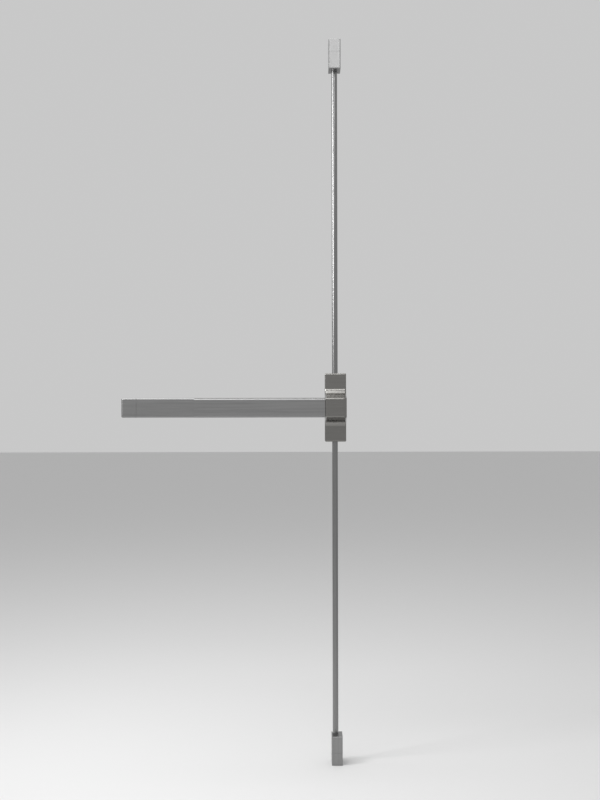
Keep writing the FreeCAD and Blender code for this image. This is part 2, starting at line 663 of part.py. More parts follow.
def end_cap():
    """Die-cast cap that closes the bar's free end, open to the door and to the rail."""
    half = BAR_HEIGHT / 2
    right = RAIL_LEFT - GAP
    outer = block(BAR_LEFT, right, 0, BAR_DEPTH, -half, half)
    outer = outer.makeFillet(BAR_EDGE_RADIUS, cap_edges(outer, BAR_LEFT, BAR_DEPTH, half))
    inner = block(BAR_LEFT + END_CAP_WALL, right + 1, -1, BAR_DEPTH - END_CAP_WALL,
                  -half + END_CAP_WALL, half - END_CAP_WALL)
    inner = inner.makeFillet(BAR_EDGE_RADIUS - END_CAP_WALL,
                             cap_edges(inner, BAR_LEFT + END_CAP_WALL, BAR_DEPTH - END_CAP_WALL,
                                       half - END_CAP_WALL))
    cutters = [inner] + [countersink(SCREW_RADIUS, *end_screw_ends(side), END_CAP_WALL)
                         for side in (1, -1)]
    return drilled(outer, cutters)


def end_cap_screws():
    """Two countersunk screws that hold the end cap on its bracket."""
    return [countersunk(SCREW_RADIUS, *end_screw_ends(side), END_CAP_WALL) for side in (1, -1)]


# ---------------------------------------------------------------- push pad
def push_pad():
    """Extruded touch bar: front wall, two flanges and a T-slot that holds the hangers."""
    half = PAD_HALF_HEIGHT
    x0 = PAD_LEFT + PAD_CAP_THICKNESS
    x1 = PAD_RIGHT - PAD_CAP_THICKNESS
    lip = PAD_LIP_HALF_HEIGHT
    slot = PAD_INNER_FRONT - HANGER_BASE - GAP
    hook = slot - PAD_LIP_WALL
    inner = half - PAD_FLANGE_WALL
    upper = [(PAD_BACK_DEPTH, half), (PAD_BACK_DEPTH, inner), (PAD_INNER_FRONT - PAD_CORNER, inner),
             (PAD_INNER_FRONT, inner - PAD_CORNER), (PAD_INNER_FRONT, lip + PAD_LIP_WALL), (hook, lip + PAD_LIP_WALL),
             (hook, lip - PAD_LIP_HOOK), (slot, lip - PAD_LIP_HOOK), (slot, lip),
             (PAD_INNER_FRONT, lip)]
    lower = [(depth, -z) for depth, z in reversed(upper)]
    body = section_along_bar(upper + lower + [(PAD_FRONT_DEPTH, -half), (PAD_FRONT_DEPTH, half)], x0, x1)
    return body.makeFillet(PAD_EDGE_RADIUS, long_front_edges(body, PAD_FRONT_DEPTH, half))


def pad_cap(x_outer, inward):
    """Moulded cap at one end of the pad: a plate and a shallow plug inside the extrusion."""
    half = PAD_HALF_HEIGHT
    x_plate = x_outer + inward * PAD_CAP_THICKNESS
    plate = block(x_outer, x_plate, PAD_BACK_DEPTH, PAD_FRONT_DEPTH, -half, half)
    plate = plate.makeFillet(PAD_EDGE_RADIUS, long_front_edges(plate, PAD_FRONT_DEPTH, half))
    rim = half - PAD_FLANGE_WALL - FIT_GAP
    plug_front = PAD_INNER_FRONT - HANGER_BASE - GAP - PAD_LIP_WALL - GAP
    plug_back = PAD_BACK_DEPTH + PAD_PLUG_WALL
    plug = block(x_plate, x_plate + inward * PAD_PLUG, plug_back, plug_front, -rim, rim)
    hollow = block(x_plate, x_plate + inward * (PAD_PLUG + 1), plug_back + PAD_PLUG_WALL,
                   plug_front - PAD_PLUG_WALL, -rim + PAD_PLUG_WALL, rim - PAD_PLUG_WALL)
    return joined(plate, plug.cut(hollow))


def tapered_cheek(x, foot_depth, foot, eye_depth, eye, z0, z1):
    """Cheek of a folded bracket, from its foot's half width to a round eye for a pin."""
    outline = flat_face([at(x - foot, foot_depth, z0), at(x + foot, foot_depth, z0),
                         at(x + eye, eye_depth, z0), at(x - eye, eye_depth, z0)])
    return joined(outline.extrude(UP * (z1 - z0)), upright(eye, x, eye_depth, z0, z1))


def hanger(x):
    """Folded bracket that hangs a crank's pin from the pad, its base in the T-slot."""
    base_top = PAD_INNER_FRONT - GAP / 2
    base_back = base_top - HANGER_BASE
    half = PAD_LIP_HALF_HEIGHT - GAP
    base = block(x - HANGER_HALF_LENGTH, x + HANGER_HALF_LENGTH, base_back, base_top, -half, half)
    cheeks = []
    for side in (1, -1):
        z0 = side * CHEEK_INNER
        z1 = side * (CHEEK_INNER + CHEEK_THICKNESS)
        cheeks.append(tapered_cheek(x, base_back, HANGER_FOOT, HANGER_PIN_DEPTH,
                                    HANGER_EYE_RADIUS, z0, z1))
    body = joined(base, *cheeks)
    return body.cut(upright(CRANK_PIN_RADIUS + FIT_GAP, x, HANGER_PIN_DEPTH, -20, 20))


def hanger_pins():
    """Two headed pins across the hangers, each in a slot of its crank."""
    pins = []
    reach = CHEEK_INNER + CHEEK_THICKNESS
    for x in (REAR_CRANK_X, FRONT_CRANK_X):
        hanger_x = x - CRANK_PAD_ARM
        shank = upright(CRANK_PIN_RADIUS, hanger_x, HANGER_PIN_DEPTH, -reach - PIN_HEAD, reach)
        head = upright(CRANK_PIN_RADIUS + PIN_HEAD_OVERLAP, hanger_x, HANGER_PIN_DEPTH,
                       reach, reach + PIN_HEAD)
        pins.append(joined(shank, head))
    return pins


# ---------------------------------------------------------------- bell cranks
def arm_point(pivot, reach, degrees):
    """Point at a reach from the pivot, turned about the upright axis from +X."""
    angle = math.radians(degrees)
    return pivot + FreeCAD.Vector(reach * math.cos(angle), reach * math.sin(angle), 0)


def crank(x):
    """Bell crank of two plates on one hub, turned to its rest position."""
    pivot = at(x, CRANK_PIVOT_DEPTH, 0)
    far = CRANK_PAD_ARM / math.cos(CRANK_SWING)
    hub_end = BRACKET_INNER - GAP
    hub = upright(PIVOT_PIN_RADIUS + PIVOT_GAP + CRANK_HUB_WALL, x, CRANK_PIVOT_DEPTH, -hub_end, hub_end)
    parts = [hub]
    cutters = [upright(PIVOT_PIN_RADIUS + PIVOT_GAP, x, CRANK_PIVOT_DEPTH, -20, 20)]
    low = FreeCAD.Vector(0, 0, -CRANK_OUTER)
    for z0 in (CRANK_OUTER - CRANK_PLATE, -CRANK_OUTER):
        lift = FreeCAD.Vector(0, 0, z0)
        pad_end = arm_point(pivot, far, 180) + lift
        bar_end = arm_point(pivot, CRANK_BAR_ARM, 90) + lift
        parts.append(capsule_slot(CRANK_PAD_HALF_WIDTH, pivot + lift, pad_end, CRANK_PLATE, UP))
        parts.append(capsule_slot(CRANK_BAR_HALF_WIDTH, pivot + lift, bar_end, CRANK_PLATE, UP))
    slot_half = CRANK_PIN_RADIUS + GAP
    cutters.append(capsule_slot(slot_half, arm_point(pivot, CRANK_PAD_ARM, 180) + low,
                                arm_point(pivot, far, 180) + low, 2 * CRANK_OUTER, UP))
    cutters.append(upright(CRANK_PIN_RADIUS + FIT_GAP, x, CRANK_PIVOT_DEPTH - CRANK_BAR_ARM, -20, 20))
    body = drilled(joined(*parts), cutters)
    body.rotate(pivot, UP, math.degrees(CRANK_SWING))
    return body


def crank_pin(x):
    """Pin at the crank's door arm, in a slot of the draw bar."""
    pivot = at(x, CRANK_PIVOT_DEPTH, 0)
    place = arm_point(pivot, CRANK_BAR_ARM, 90 + math.degrees(CRANK_SWING))
    reach = FreeCAD.Vector(0, 0, CRANK_OUTER)
    head = FreeCAD.Vector(0, 0, PIN_HEAD)
    shank = rod_between(CRANK_PIN_RADIUS, place - reach - head, place + reach)
    cap = rod_between(CRANK_PIN_RADIUS + PIN_HEAD_OVERLAP, place + reach, place + reach + head)
    return joined(shank, cap)


def rivet_places():
    """Places of the rivets that hold the crank brackets and the spring bracket to the rail."""
    places = []
    for x in (REAR_CRANK_X, FRONT_CRANK_X):
        places += [(x - RIVET_OFFSET_X, 0.0), (x + RIVET_OFFSET_X, 0.0)]
    spring_x = SPRING_BRACKET_X + SPRING_BRACKET_LENGTH * 3 / 4
    places += [(spring_x, -SPRING_RIVET_OFFSET_Z), (spring_x, SPRING_RIVET_OFFSET_Z)]
    return places


def rivets():
    """Round-headed rivets through the rail's web."""
    solids = []
    seat = RAIL_WEB + BRACKET_THICKNESS
    for x, z in rivet_places():
        shank = outward(RIVET_RADIUS, x, z, RIVET_START, seat)
        head = outward(RIVET_HEAD_RADIUS, x, z, seat, seat + RIVET_HEAD)
        solids.append(joined(shank, head))
    return solids


def crank_bracket(x):
    """Folded bracket on the rail's web that carries one crank between its cheeks."""
    top = RAIL_WEB + BRACKET_THICKNESS
    half = TONGUE_HALF_HEIGHT
    base = block(x - BRACKET_HALF_LENGTH, x + BRACKET_HALF_LENGTH, RAIL_WEB, top, -half, half)
    parts = [base]
    for side in (1, -1):
        z0 = side * BRACKET_INNER
        z1 = side * half
        parts.append(tapered_cheek(x, RAIL_WEB, BRACKET_FOOT, CRANK_PIVOT_DEPTH,
                                   BRACKET_EYE_RADIUS, z0, z1))
    cutters = [upright(PIVOT_PIN_RADIUS + FIT_GAP, x, CRANK_PIVOT_DEPTH, -20, 20)]
    for rivet_x, rivet_z in rivet_places():
        cutters.append(outward(RIVET_RADIUS + FIT_GAP, rivet_x, rivet_z, 0, top + 1))
    return drilled(joined(*parts), cutters)


def crank_pivot_pins():
    """Two headed pins on which the cranks turn."""
    pins = []
    reach = TONGUE_HALF_HEIGHT
    for x in (REAR_CRANK_X, FRONT_CRANK_X):
        shank = upright(PIVOT_PIN_RADIUS, x, CRANK_PIVOT_DEPTH, -reach - PIVOT_HEAD, reach)
        head = upright(PIVOT_PIN_RADIUS + PIVOT_HEAD, x, CRANK_PIVOT_DEPTH, reach, reach + PIVOT_HEAD)
        pins.append(joined(shank, head))
    return pins


def pad_buffers():
    """Four rubber buffers on the web that stop the pad's flanges."""
    top = PAD_BACK_DEPTH - PAD_TRAVEL - GAP
    inner = RIB_INNER + RIB_WIDTH + BUFFER_MARGIN
    return [block(x + BUFFER_START, x + BUFFER_START + BUFFER_LENGTH, RAIL_WEB, top,
                  side * inner, side * RAIL_INNER)
            for x in (REAR_CRANK_X, FRONT_CRANK_X) for side in (1, -1)]


# ---------------------------------------------------------------- draw bar
def head_pin_x():
    """Rest place of the head's pins along the bar."""
    return ROD_X + LEVER_PIVOT_X - DRAW_BAR_TRAVEL / 2


def draw_bar():
    """Flat bar on edge that the cranks pull towards the centre case."""
    half = DRAW_BAR_THICKNESS / 2
    front = DRAW_BAR_BACK + DRAW_BAR_DEPTH
    body = block(DRAW_BAR_LEFT, DRAW_BAR_RIGHT, DRAW_BAR_BACK, front, -half, half)
    near = CRANK_PIVOT_DEPTH - CRANK_BAR_ARM
    far = CRANK_PIVOT_DEPTH - CRANK_BAR_ARM * math.cos(CRANK_SWING)
    cutters = []
    for x in (REAR_CRANK_X, FRONT_CRANK_X):
        pin_x = x - DRAW_BAR_TRAVEL / 2
        cutters.append(capsule_slot(CRANK_PIN_RADIUS + GAP, at(pin_x, near, -half - 1),
                                    at(pin_x, far, -half - 1), DRAW_BAR_THICKNESS + 2, UP))
    return drilled(body, cutters)


def draw_bar_head():
    """Plate at the bar's end that reaches both levers' pins."""
    pin_x = head_pin_x()
    right = pin_x + HEAD_EDGE
    half = HEAD_HALF_HEIGHT
    neck_end = HEAD_LEFT + HEAD_NECK_LENGTH
    shoulder = neck_end + HEAD_SHOULDER
    upper = [(right, half), (shoulder, half), (neck_end, HEAD_NECK), (HEAD_LEFT, HEAD_NECK)]
    outline = upper + [(x, -z) for x, z in reversed(upper)]
    plate = flat_plate(outline, DRAW_BAR_BACK - HEAD_PLATE, DRAW_BAR_BACK)
    cutters = [outward(LEVER_PIN_RADIUS + FIT_GAP, pin_x, side * HEAD_PIN_Z, 0, 20) for side in (1, -1)]
    return drilled(plate, cutters)


def head_pins():
    """Two pins riveted in the head plate, each in a slot of its lever."""
    return [outward(LEVER_PIN_RADIUS, head_pin_x(), side * HEAD_PIN_Z,
                    DRAW_BAR_BACK - HEAD_PLATE, LEVER_BACK + LEVER_PLATE + PIN_END) for side in (1, -1)]


def spring_rod():
    """Turned rod with a fork tab that carries the return spring."""
    start = at(DRAW_BAR_LEFT, SPRING_ROD_DEPTH, 0)
    end = at(SPRING_BRACKET_X - RETURN_LENGTH - SPRING_ROD_TAIL, SPRING_ROD_DEPTH, 0)
    shank = rod_between(SPRING_ROD_RADIUS, start, end)
    half = DRAW_BAR_THICKNESS / 2
    back = SPRING_ROD_DEPTH - SPRING_TAB_HALF_DEPTH
    front = SPRING_ROD_DEPTH + SPRING_TAB_HALF_DEPTH
    side = half + SPRING_TAB_THICKNESS
    tab = block(DRAW_BAR_LEFT, DRAW_BAR_LEFT + SPRING_TAB_LENGTH, back, front, half, side)
    root = block(DRAW_BAR_LEFT - SPRING_ROOT, DRAW_BAR_LEFT, back, front, -half, side)
    return joined(shank, root, tab)


def spring_bracket():
    """Angle on the web that the return spring pushes against."""
    x = SPRING_BRACKET_X
    half = TONGUE_HALF_HEIGHT
    seat = RAIL_WEB + BRACKET_THICKNESS
    base = block(x, x + SPRING_BRACKET_LENGTH, RAIL_WEB, seat, -half, half)
    upright_leg = block(x, x + SPRING_BRACKET_LEG, RAIL_WEB, SPRING_ROD_DEPTH + SPRING_BRACKET_MARGIN,
                        -half, half)
    hole = rod_between(SPRING_ROD_RADIUS + PIVOT_GAP, at(x - 1, SPRING_ROD_DEPTH, 0),
                       at(x + SPRING_BRACKET_LEG + 1, SPRING_ROD_DEPTH, 0))
    cutters = [hole] + [outward(RIVET_RADIUS + FIT_GAP, rivet_x, z, 0, seat + 1)
                        for rivet_x, z in rivet_places()]
    return drilled(joined(base, upright_leg), cutters)


def return_spring():
    """Compression spring that pushes the draw bar and the pad back out."""
    return coil_spring(RETURN_COIL_RADIUS, RETURN_WIRE_RADIUS, RETURN_LENGTH, RETURN_TURNS,
                       at(SPRING_BRACKET_X, SPRING_ROD_DEPTH, 0), FreeCAD.Vector(-1, 0, 0))


def spring_collar():
    """Round nut at the end of the spring rod."""
    x = SPRING_BRACKET_X - RETURN_LENGTH
    body = rod_between(RETURN_COIL_RADIUS + RETURN_WIRE_RADIUS, at(x, SPRING_ROD_DEPTH, 0),
                       at(x - COLLAR_LENGTH, SPRING_ROD_DEPTH, 0))
    return body.cut(rod_between(SPRING_ROD_RADIUS + FIT_GAP, at(x + 1, SPRING_ROD_DEPTH, 0),
                                at(x - COLLAR_LENGTH - 1, SPRING_ROD_DEPTH, 0)))


def draw_bar_guides():
    """Two nylon saddles that the draw bar slides in."""
    solids = []
    slot = DRAW_BAR_THICKNESS / 2 + GAP
    top = DRAW_BAR_BACK + DRAW_BAR_DEPTH - GUIDE_DROP
    for x in GUIDE_X:
        x0 = x - GUIDE_HALF_LENGTH
        x1 = x + GUIDE_HALF_LENGTH
        foot = block(x0, x1, RAIL_WEB, RAIL_WEB + GUIDE_FOOT, -TONGUE_HALF_HEIGHT, TONGUE_HALF_HEIGHT)
        tower = block(x0, x1, RAIL_WEB, top, -slot - GUIDE_WALL, slot + GUIDE_WALL)
        channel = block(x0 - 1, x1 + 1, DRAW_BAR_BACK - GAP, top + 1, -slot, slot)
        solids.append(joined(foot, tower).cut(channel))
    return solids


# ---------------------------------------------------------------- levers
def lever():
    """Upper lever, turned to its rest position."""
    x = ROD_X + LEVER_PIVOT_X
    pivot = at(x, LEVER_BACK, LEVER_PIVOT_Z)
    bar_arm = LEVER_PIVOT_Z - HEAD_PIN_Z
    bar_far = bar_arm / math.cos(LEVER_SWING)
    rod_far = LEVER_PIVOT_X / math.cos(LEVER_SWING)
    down = FreeCAD.Vector(0, 0, -1)
    left = FreeCAD.Vector(-1, 0, 0)
    arms = [capsule_slot(LEVER_HALF_WIDTH, pivot, pivot + down * bar_far, LEVER_PLATE, OUT),
            capsule_slot(LEVER_HALF_WIDTH, pivot, pivot + left * rod_far, LEVER_PLATE, OUT),
            outward(LEVER_POST_RADIUS + LEVER_EYE_WALL, x, LEVER_PIVOT_Z, LEVER_BACK,
                    LEVER_BACK + LEVER_PLATE)]
    back = FreeCAD.Vector(0, 1, 0)
    slot = LEVER_PIN_RADIUS + GAP
    cutters = [outward(LEVER_POST_RADIUS + PIVOT_GAP, x, LEVER_PIVOT_Z, 0, 30),
               capsule_slot(slot, pivot + back + down * bar_arm, pivot + back + down * bar_far,
                            LEVER_PLATE + 2, OUT),
               capsule_slot(slot, pivot + back + left * LEVER_PIVOT_X, pivot + back + left * rod_far,
                            LEVER_PLATE + 2, OUT)]
    body = drilled(joined(*arms), cutters)
    body.rotate(pivot, FreeCAD.Vector(0, 1, 0), math.degrees(LEVER_SWING))
    return body


# ---------------------------------------------------------------- rods, drawn for the top rod
def carrier():
    """Block under the rod, with the pin that sits in its lever's slot."""
    half = CARRIER_HALF_WIDTH
    body = block(ROD_X - half, ROD_X + half, CARRIER_BACK, CARRIER_FRONT, CARRIER_START_Z, CARRIER_END_Z)
    body = body.makeChamfer(CARRIER_CHAMFER, [edge for edge in body.Edges
                                              if abs(edge.CenterOfMass.y + CARRIER_FRONT) < 0.01])
    pin = outward(LEVER_PIN_RADIUS, ROD_X, CARRIER_PIN_Z, LEVER_BACK - PIN_END, CARRIER_BACK + 1)
    bore = upright(STUD_RADIUS + FIT_GAP, ROD_X, ROD_DEPTH, CARRIER_END_Z - STUD_DEPTH, CARRIER_END_Z + 1)
    return joined(body, pin).cut(bore)


def rod_stud():
    """Threaded stud, shown plain, that sets the rod's length."""
    return upright(STUD_RADIUS, ROD_X, ROD_DEPTH, CARRIER_END_Z - STUD_DEPTH + GAP,
                   ROD_START_Z + ROD_PLUG - 1)


def rod_nut():
    """Lock nut against the carrier."""
    return hex_nut(NUT_ACROSS_FLATS, STUD_RADIUS + FIT_GAP, ROD_X, ROD_DEPTH,
                   CARRIER_END_Z, CARRIER_END_Z + NUT_THICKNESS)


def rod_tube(unit):
    """Rod: a tube with a tapped plug in its inner end."""
    end = unit["collar_z"]
    body = upright(ROD_RADIUS, ROD_X, ROD_DEPTH, ROD_START_Z, end)
    bore = upright(ROD_BORE, ROD_X, ROD_DEPTH, ROD_START_Z + ROD_PLUG, end + 1)
    tapped = upright(STUD_RADIUS + FIT_GAP, ROD_X, ROD_DEPTH, ROD_START_Z - 1, ROD_START_Z + ROD_PLUG + 1)
    return drilled(body, [bore, tapped])


def latch_bolt(unit):
    """Turned bolt: spigot in the rod, collar under the spring, and the bolt with its chamfer."""
    collar = unit["collar_z"]
    tip = unit["joint_z"] + BOLT_THROW
    spigot = ROD_BORE - FIT_GAP
    chamfer, slope = BOLT_CHAMFER
    outline = [(0, collar - BOLT_SPIGOT), (spigot, collar - BOLT_SPIGOT), (spigot, collar),
               (BOLT_COLLAR_RADIUS, collar), (BOLT_COLLAR_RADIUS, collar + BOLT_COLLAR),
               (BOLT_RADIUS, collar + BOLT_COLLAR), (BOLT_RADIUS, tip - slope),
               (BOLT_RADIUS - chamfer, tip), (0, tip)]
    face = flat_face([at(ROD_X + radius, ROD_DEPTH, z) for radius, z in outline])
    return face.revolve(at(ROD_X, ROD_DEPTH, 0), UP, 360)


# ---------------------------------------------------------------- latch cases and strikes
def unit_values(start, latch_height, strike_height, width, shift):
    """Heights and places of one end unit, measured away from the bar."""
    seat = start + UNIT_WALL + GAP + UNIT_PLATE
    return {"start": start, "joint_z": start + latch_height,
            "strike_start": start + latch_height + GAP,
            "strike_end": start + latch_height + GAP + strike_height,
            "bush_seat": seat, "collar_z": seat + BUSH_FLANGE + BOLT_SPRING_LENGTH,
            "width": width, "x": ROD_X + shift}


TOP_LATCH = unit_values(TOP_LATCH_START, TOP_LATCH_HEIGHT, TOP_STRIKE_HEIGHT, TOP_UNIT_WIDTH, 0)
BOTTOM_LATCH = unit_values(BOTTOM_LATCH_START, BOTTOM_LATCH_HEIGHT, BOTTOM_STRIKE_HEIGHT,
                           BOTTOM_UNIT_WIDTH, BOTTOM_UNIT_SHIFT)
def unit_screw_ends(unit, x_side, z):
    """Head and tip of one screw through a unit cover's side."""
    half = unit["width"] / 2
    head = at(unit["x"] + x_side * half, UNIT_SCREW_DEPTH, z)
    tip = half - UNIT_WALL - GAP - TAB_THICKNESS - SCREW_REACH / 2
    return head, at(unit["x"] + x_side * tip, UNIT_SCREW_DEPTH, z)


def unit_cover(unit, z0, z1, rounded_z, screw_z, cutters):
    """Shell of a latch case or a strike, open to the door, with its outer end rounded."""
    half = unit["width"] / 2
    x = unit["x"]
    outer = block(x - half, x + half, 0, UNIT_DEPTH, z0, z1)
    edges = [edge for edge in outer.Edges if abs(edge.CenterOfMass.y + UNIT_DEPTH) < 0.01
             and (abs(edge.CenterOfMass.z - rounded_z) < 0.01 or abs(edge.CenterOfMass.x - x) > 1)]
    outer = outer.makeFillet(UNIT_RADIUS, edges)
    inner = block(x - half + UNIT_WALL, x + half - UNIT_WALL, -1, UNIT_DEPTH - UNIT_WALL,
                  z0 + UNIT_WALL, z1 - UNIT_WALL)
    screws = [countersink(SCREW_RADIUS, *unit_screw_ends(unit, x_side, screw_z), UNIT_WALL)
              for x_side in (1, -1)]
    return drilled(outer, [inner] + screws + cutters)


def unit_base(unit, z0, z1, flanges, screw_z, cutters):
    """Plate on the door or frame, with flanges across the rod and tabs for the cover's screws."""
    half = unit["width"] / 2 - UNIT_WALL - GAP
    x = unit["x"]
    low = z0 + UNIT_WALL + GAP
    high = z1 - UNIT_WALL - GAP
    parts = [block(x - half, x + half, 0, UNIT_PLATE, low, high)]
    flange_depth = ROD_DEPTH + BUSH_FLANGE_RADIUS + UNIT_FLANGE_MARGIN
    for z_from in flanges:
        parts.append(block(x - half, x + half, 0, flange_depth, z_from, z_from + UNIT_PLATE))
    for x_side in (1, -1):
        parts.append(block(x + x_side * (half - TAB_THICKNESS), x + x_side * half, 0, TAB_DEPTH,
                           screw_z - TAB_HALF_LENGTH, screw_z + TAB_HALF_LENGTH))
    holes = []
    for x_side in (1, -1):
        head, tip = unit_screw_ends(unit, x_side, screw_z)
        holes.append(rod_between(SCREW_RADIUS + FIT_GAP, head, tip))
    return drilled(joined(*parts), holes + cutters)


def latch_screw_z(unit):
    """Height of the screws in a latch case's sides."""
    return unit["start"] + LATCH_SCREW_Z


def strike_screw_z(unit):
    """Height of the screws in a strike's sides."""
    return unit["strike_start"] + STRIKE_SCREW_Z


def latch_bolt_holes(unit, two_columns):
    """Places of the fixing holes in a latch case's plate."""
    middle = unit["start"] + LATCH_BOLT_Z
    columns = (-1, 1) if two_columns else (1,)
    return [(ROD_X + column * BOTTOM_LATCH_BOLT_X, middle + row * UNIT_BOLT_SPACING_Z / 2)
            for column in columns for row in (-1, 1)]


def strike_bolt_holes(unit):
    """Places of the fixing holes in a strike's plate."""
    z = unit["joint_z"] + STRIKE_BOLT_Z
    return [(unit["x"] + side * STRIKE_BOLT_SPACING_X / 2, z) for side in (-1, 1)]


def plate_holes(places):
    """Cutters for fixing holes through a plate on the door."""
    return [outward(UNIT_BOLT_RADIUS, x, z, -1, UNIT_PLATE + 1) for x, z in places]


def latch_cover(unit):
    """Cover of a latch case."""
    z0 = unit["start"]
    z1 = unit["joint_z"]
    cutters = [rod_notch(ROD_X, z0 - 1, z0 + UNIT_WALL + 1),
               rod_notch(ROD_X, z1 - UNIT_WALL - 1, z1 + 1, BOLT_RADIUS + BOLT_CLEARANCE)]
    return unit_cover(unit, z0, z1, z0, latch_screw_z(unit), cutters)


def latch_base(unit, two_columns):
    """Base of a latch case, which guides the rod and the bolt."""
    low = unit["bush_seat"] - UNIT_PLATE
    high = unit["joint_z"] - UNIT_WALL - GAP - UNIT_PLATE
    cutters = [upright(BUSH_RADIUS + FIT_GAP, ROD_X, ROD_DEPTH, low - 1, low + UNIT_PLATE + 1),
               upright(BOLT_RADIUS + PIVOT_GAP, ROD_X, ROD_DEPTH, high - 1, high + UNIT_PLATE + 1)]
    return unit_base(unit, unit["start"], unit["joint_z"], [low, high], latch_screw_z(unit),
                     cutters + plate_holes(latch_bolt_holes(unit, two_columns)))


def strike_cover(unit):
    """Cover of a strike, open where the bolt enters."""
    z0 = unit["strike_start"]
    z1 = unit["strike_end"]
    cutters = [rod_notch(ROD_X, z0 - 1, z0 + UNIT_WALL + 1, BOLT_RADIUS + BOLT_CLEARANCE)]
    return unit_cover(unit, z0, z1, z1, strike_screw_z(unit), cutters)


def strike_base(unit):
    """Base of a strike, with the keeper flange that the bolt enters."""
    z0 = unit["strike_start"]
    low = z0 + UNIT_WALL + GAP
    cutters = [upright(BOLT_RADIUS + BOLT_CLEARANCE, ROD_X, ROD_DEPTH, low - 1, low + UNIT_PLATE + 1)]
    return unit_base(unit, z0, unit["strike_end"], [low], strike_screw_z(unit),
                     cutters + plate_holes(strike_bolt_holes(unit)))


def bolt_spring(unit):
    """Spring between the latch case's bush and the bolt's collar."""
    start = unit["bush_seat"] + BUSH_FLANGE
    return coil_spring(BOLT_COIL_RADIUS, BOLT_WIRE_RADIUS, unit["collar_z"] - start, BOLT_SPRING_TURNS,
                       at(ROD_X, ROD_DEPTH, start), UP)


def unit_screws(unit):
    """Screws in the sides of one latch case and its strike."""
    return [countersunk(SCREW_RADIUS, *unit_screw_ends(unit, x_side, z), UNIT_WALL)
            for z in (latch_screw_z(unit), strike_screw_z(unit)) for x_side in (1, -1)]


def below(shape):
    """Mirror image below the bar's middle line, for what belongs to the bottom rod."""
    if isinstance(shape, list):
        return [below(piece) for piece in shape]
    return shape.mirror(FreeCAD.Vector(0, 0, 0), UP)


def main():
    """Builds every node and writes it."""
    os.makedirs("parts", exist_ok=True)
    export("centre_chassis", centre_chassis())
    export("centre_cover", centre_cover())
    export("cover_screws", cover_screws())
    export("lever_posts", lever_posts())
    export("rod_bushes", rod_bushes())
    export("rail", rail())
    export("rail_screws", rail_screws())
    export("filler_cover", filler_cover())
    export("end_bracket", end_bracket())
    export("end_cap", end_cap())
    export("end_cap_screws", end_cap_screws())
    export("rear_crank_bracket", crank_bracket(REAR_CRANK_X))
    export("front_crank_bracket", crank_bracket(FRONT_CRANK_X))
    export("crank_pivot_pins", crank_pivot_pins())
    export("rail_rivets", rivets())
    export("pad_buffers", pad_buffers())
    export("draw_bar_guides", draw_bar_guides())
    export("spring_bracket", spring_bracket())
    export("return_spring", return_spring())
    export("push_pad", push_pad())
    export("pad_cap_left", pad_cap(PAD_LEFT, 1))
    export("pad_cap_right", pad_cap(PAD_RIGHT, -1))
    export("rear_hanger", hanger(REAR_CRANK_X - CRANK_PAD_ARM))
    export("front_hanger", hanger(FRONT_CRANK_X - CRANK_PAD_ARM))
    export("hanger_pins", hanger_pins())
    export("rear_crank", crank(REAR_CRANK_X))
    export("rear_crank_pin", crank_pin(REAR_CRANK_X))
    export("front_crank", crank(FRONT_CRANK_X))
    export("front_crank_pin", crank_pin(FRONT_CRANK_X))
    export("draw_bar", draw_bar())
    export("draw_bar_head", draw_bar_head())
    export("head_pins", head_pins())
    export("spring_rod", spring_rod())
    export("spring_collar", spring_collar())
    export("upper_lever", lever())
    export("lower_lever", below(lever()))
    export("unit_cover_screws", unit_screws(TOP_LATCH) + below(unit_screws(BOTTOM_LATCH)))
    for end, unit, place in (("top", TOP_LATCH, lambda shape: shape), ("bottom", BOTTOM_LATCH, below)):
        export(end + "_rod", place(rod_tube(unit)))
        export(end + "_rod_carrier", place(carrier()))
        export(end + "_rod_stud", place(rod_stud()))
        export(end + "_rod_nut", place(rod_nut()))
        export(end + "_bolt", place(latch_bolt(unit)))
        export(end + "_bolt_spring", place(bolt_spring(unit)))
        export(end + "_latch_base", place(latch_base(unit, end == "top")))
        export(end + "_latch_cover", place(latch_cover(unit)))
        export(end + "_strike_base", place(strike_base(unit)))
        export(end + "_strike_cover", place(strike_cover(unit)))


main()
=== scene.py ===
"""Looks of a panic exit bar with a touch bar, a centre case and two upright rods."""
from __future__ import annotations

import logging
import math
from dataclasses import dataclass
from enum import Enum

import bmesh  # noqa: E402
import bpy  # noqa: E402
from mathutils import Matrix, Vector  # noqa: E402


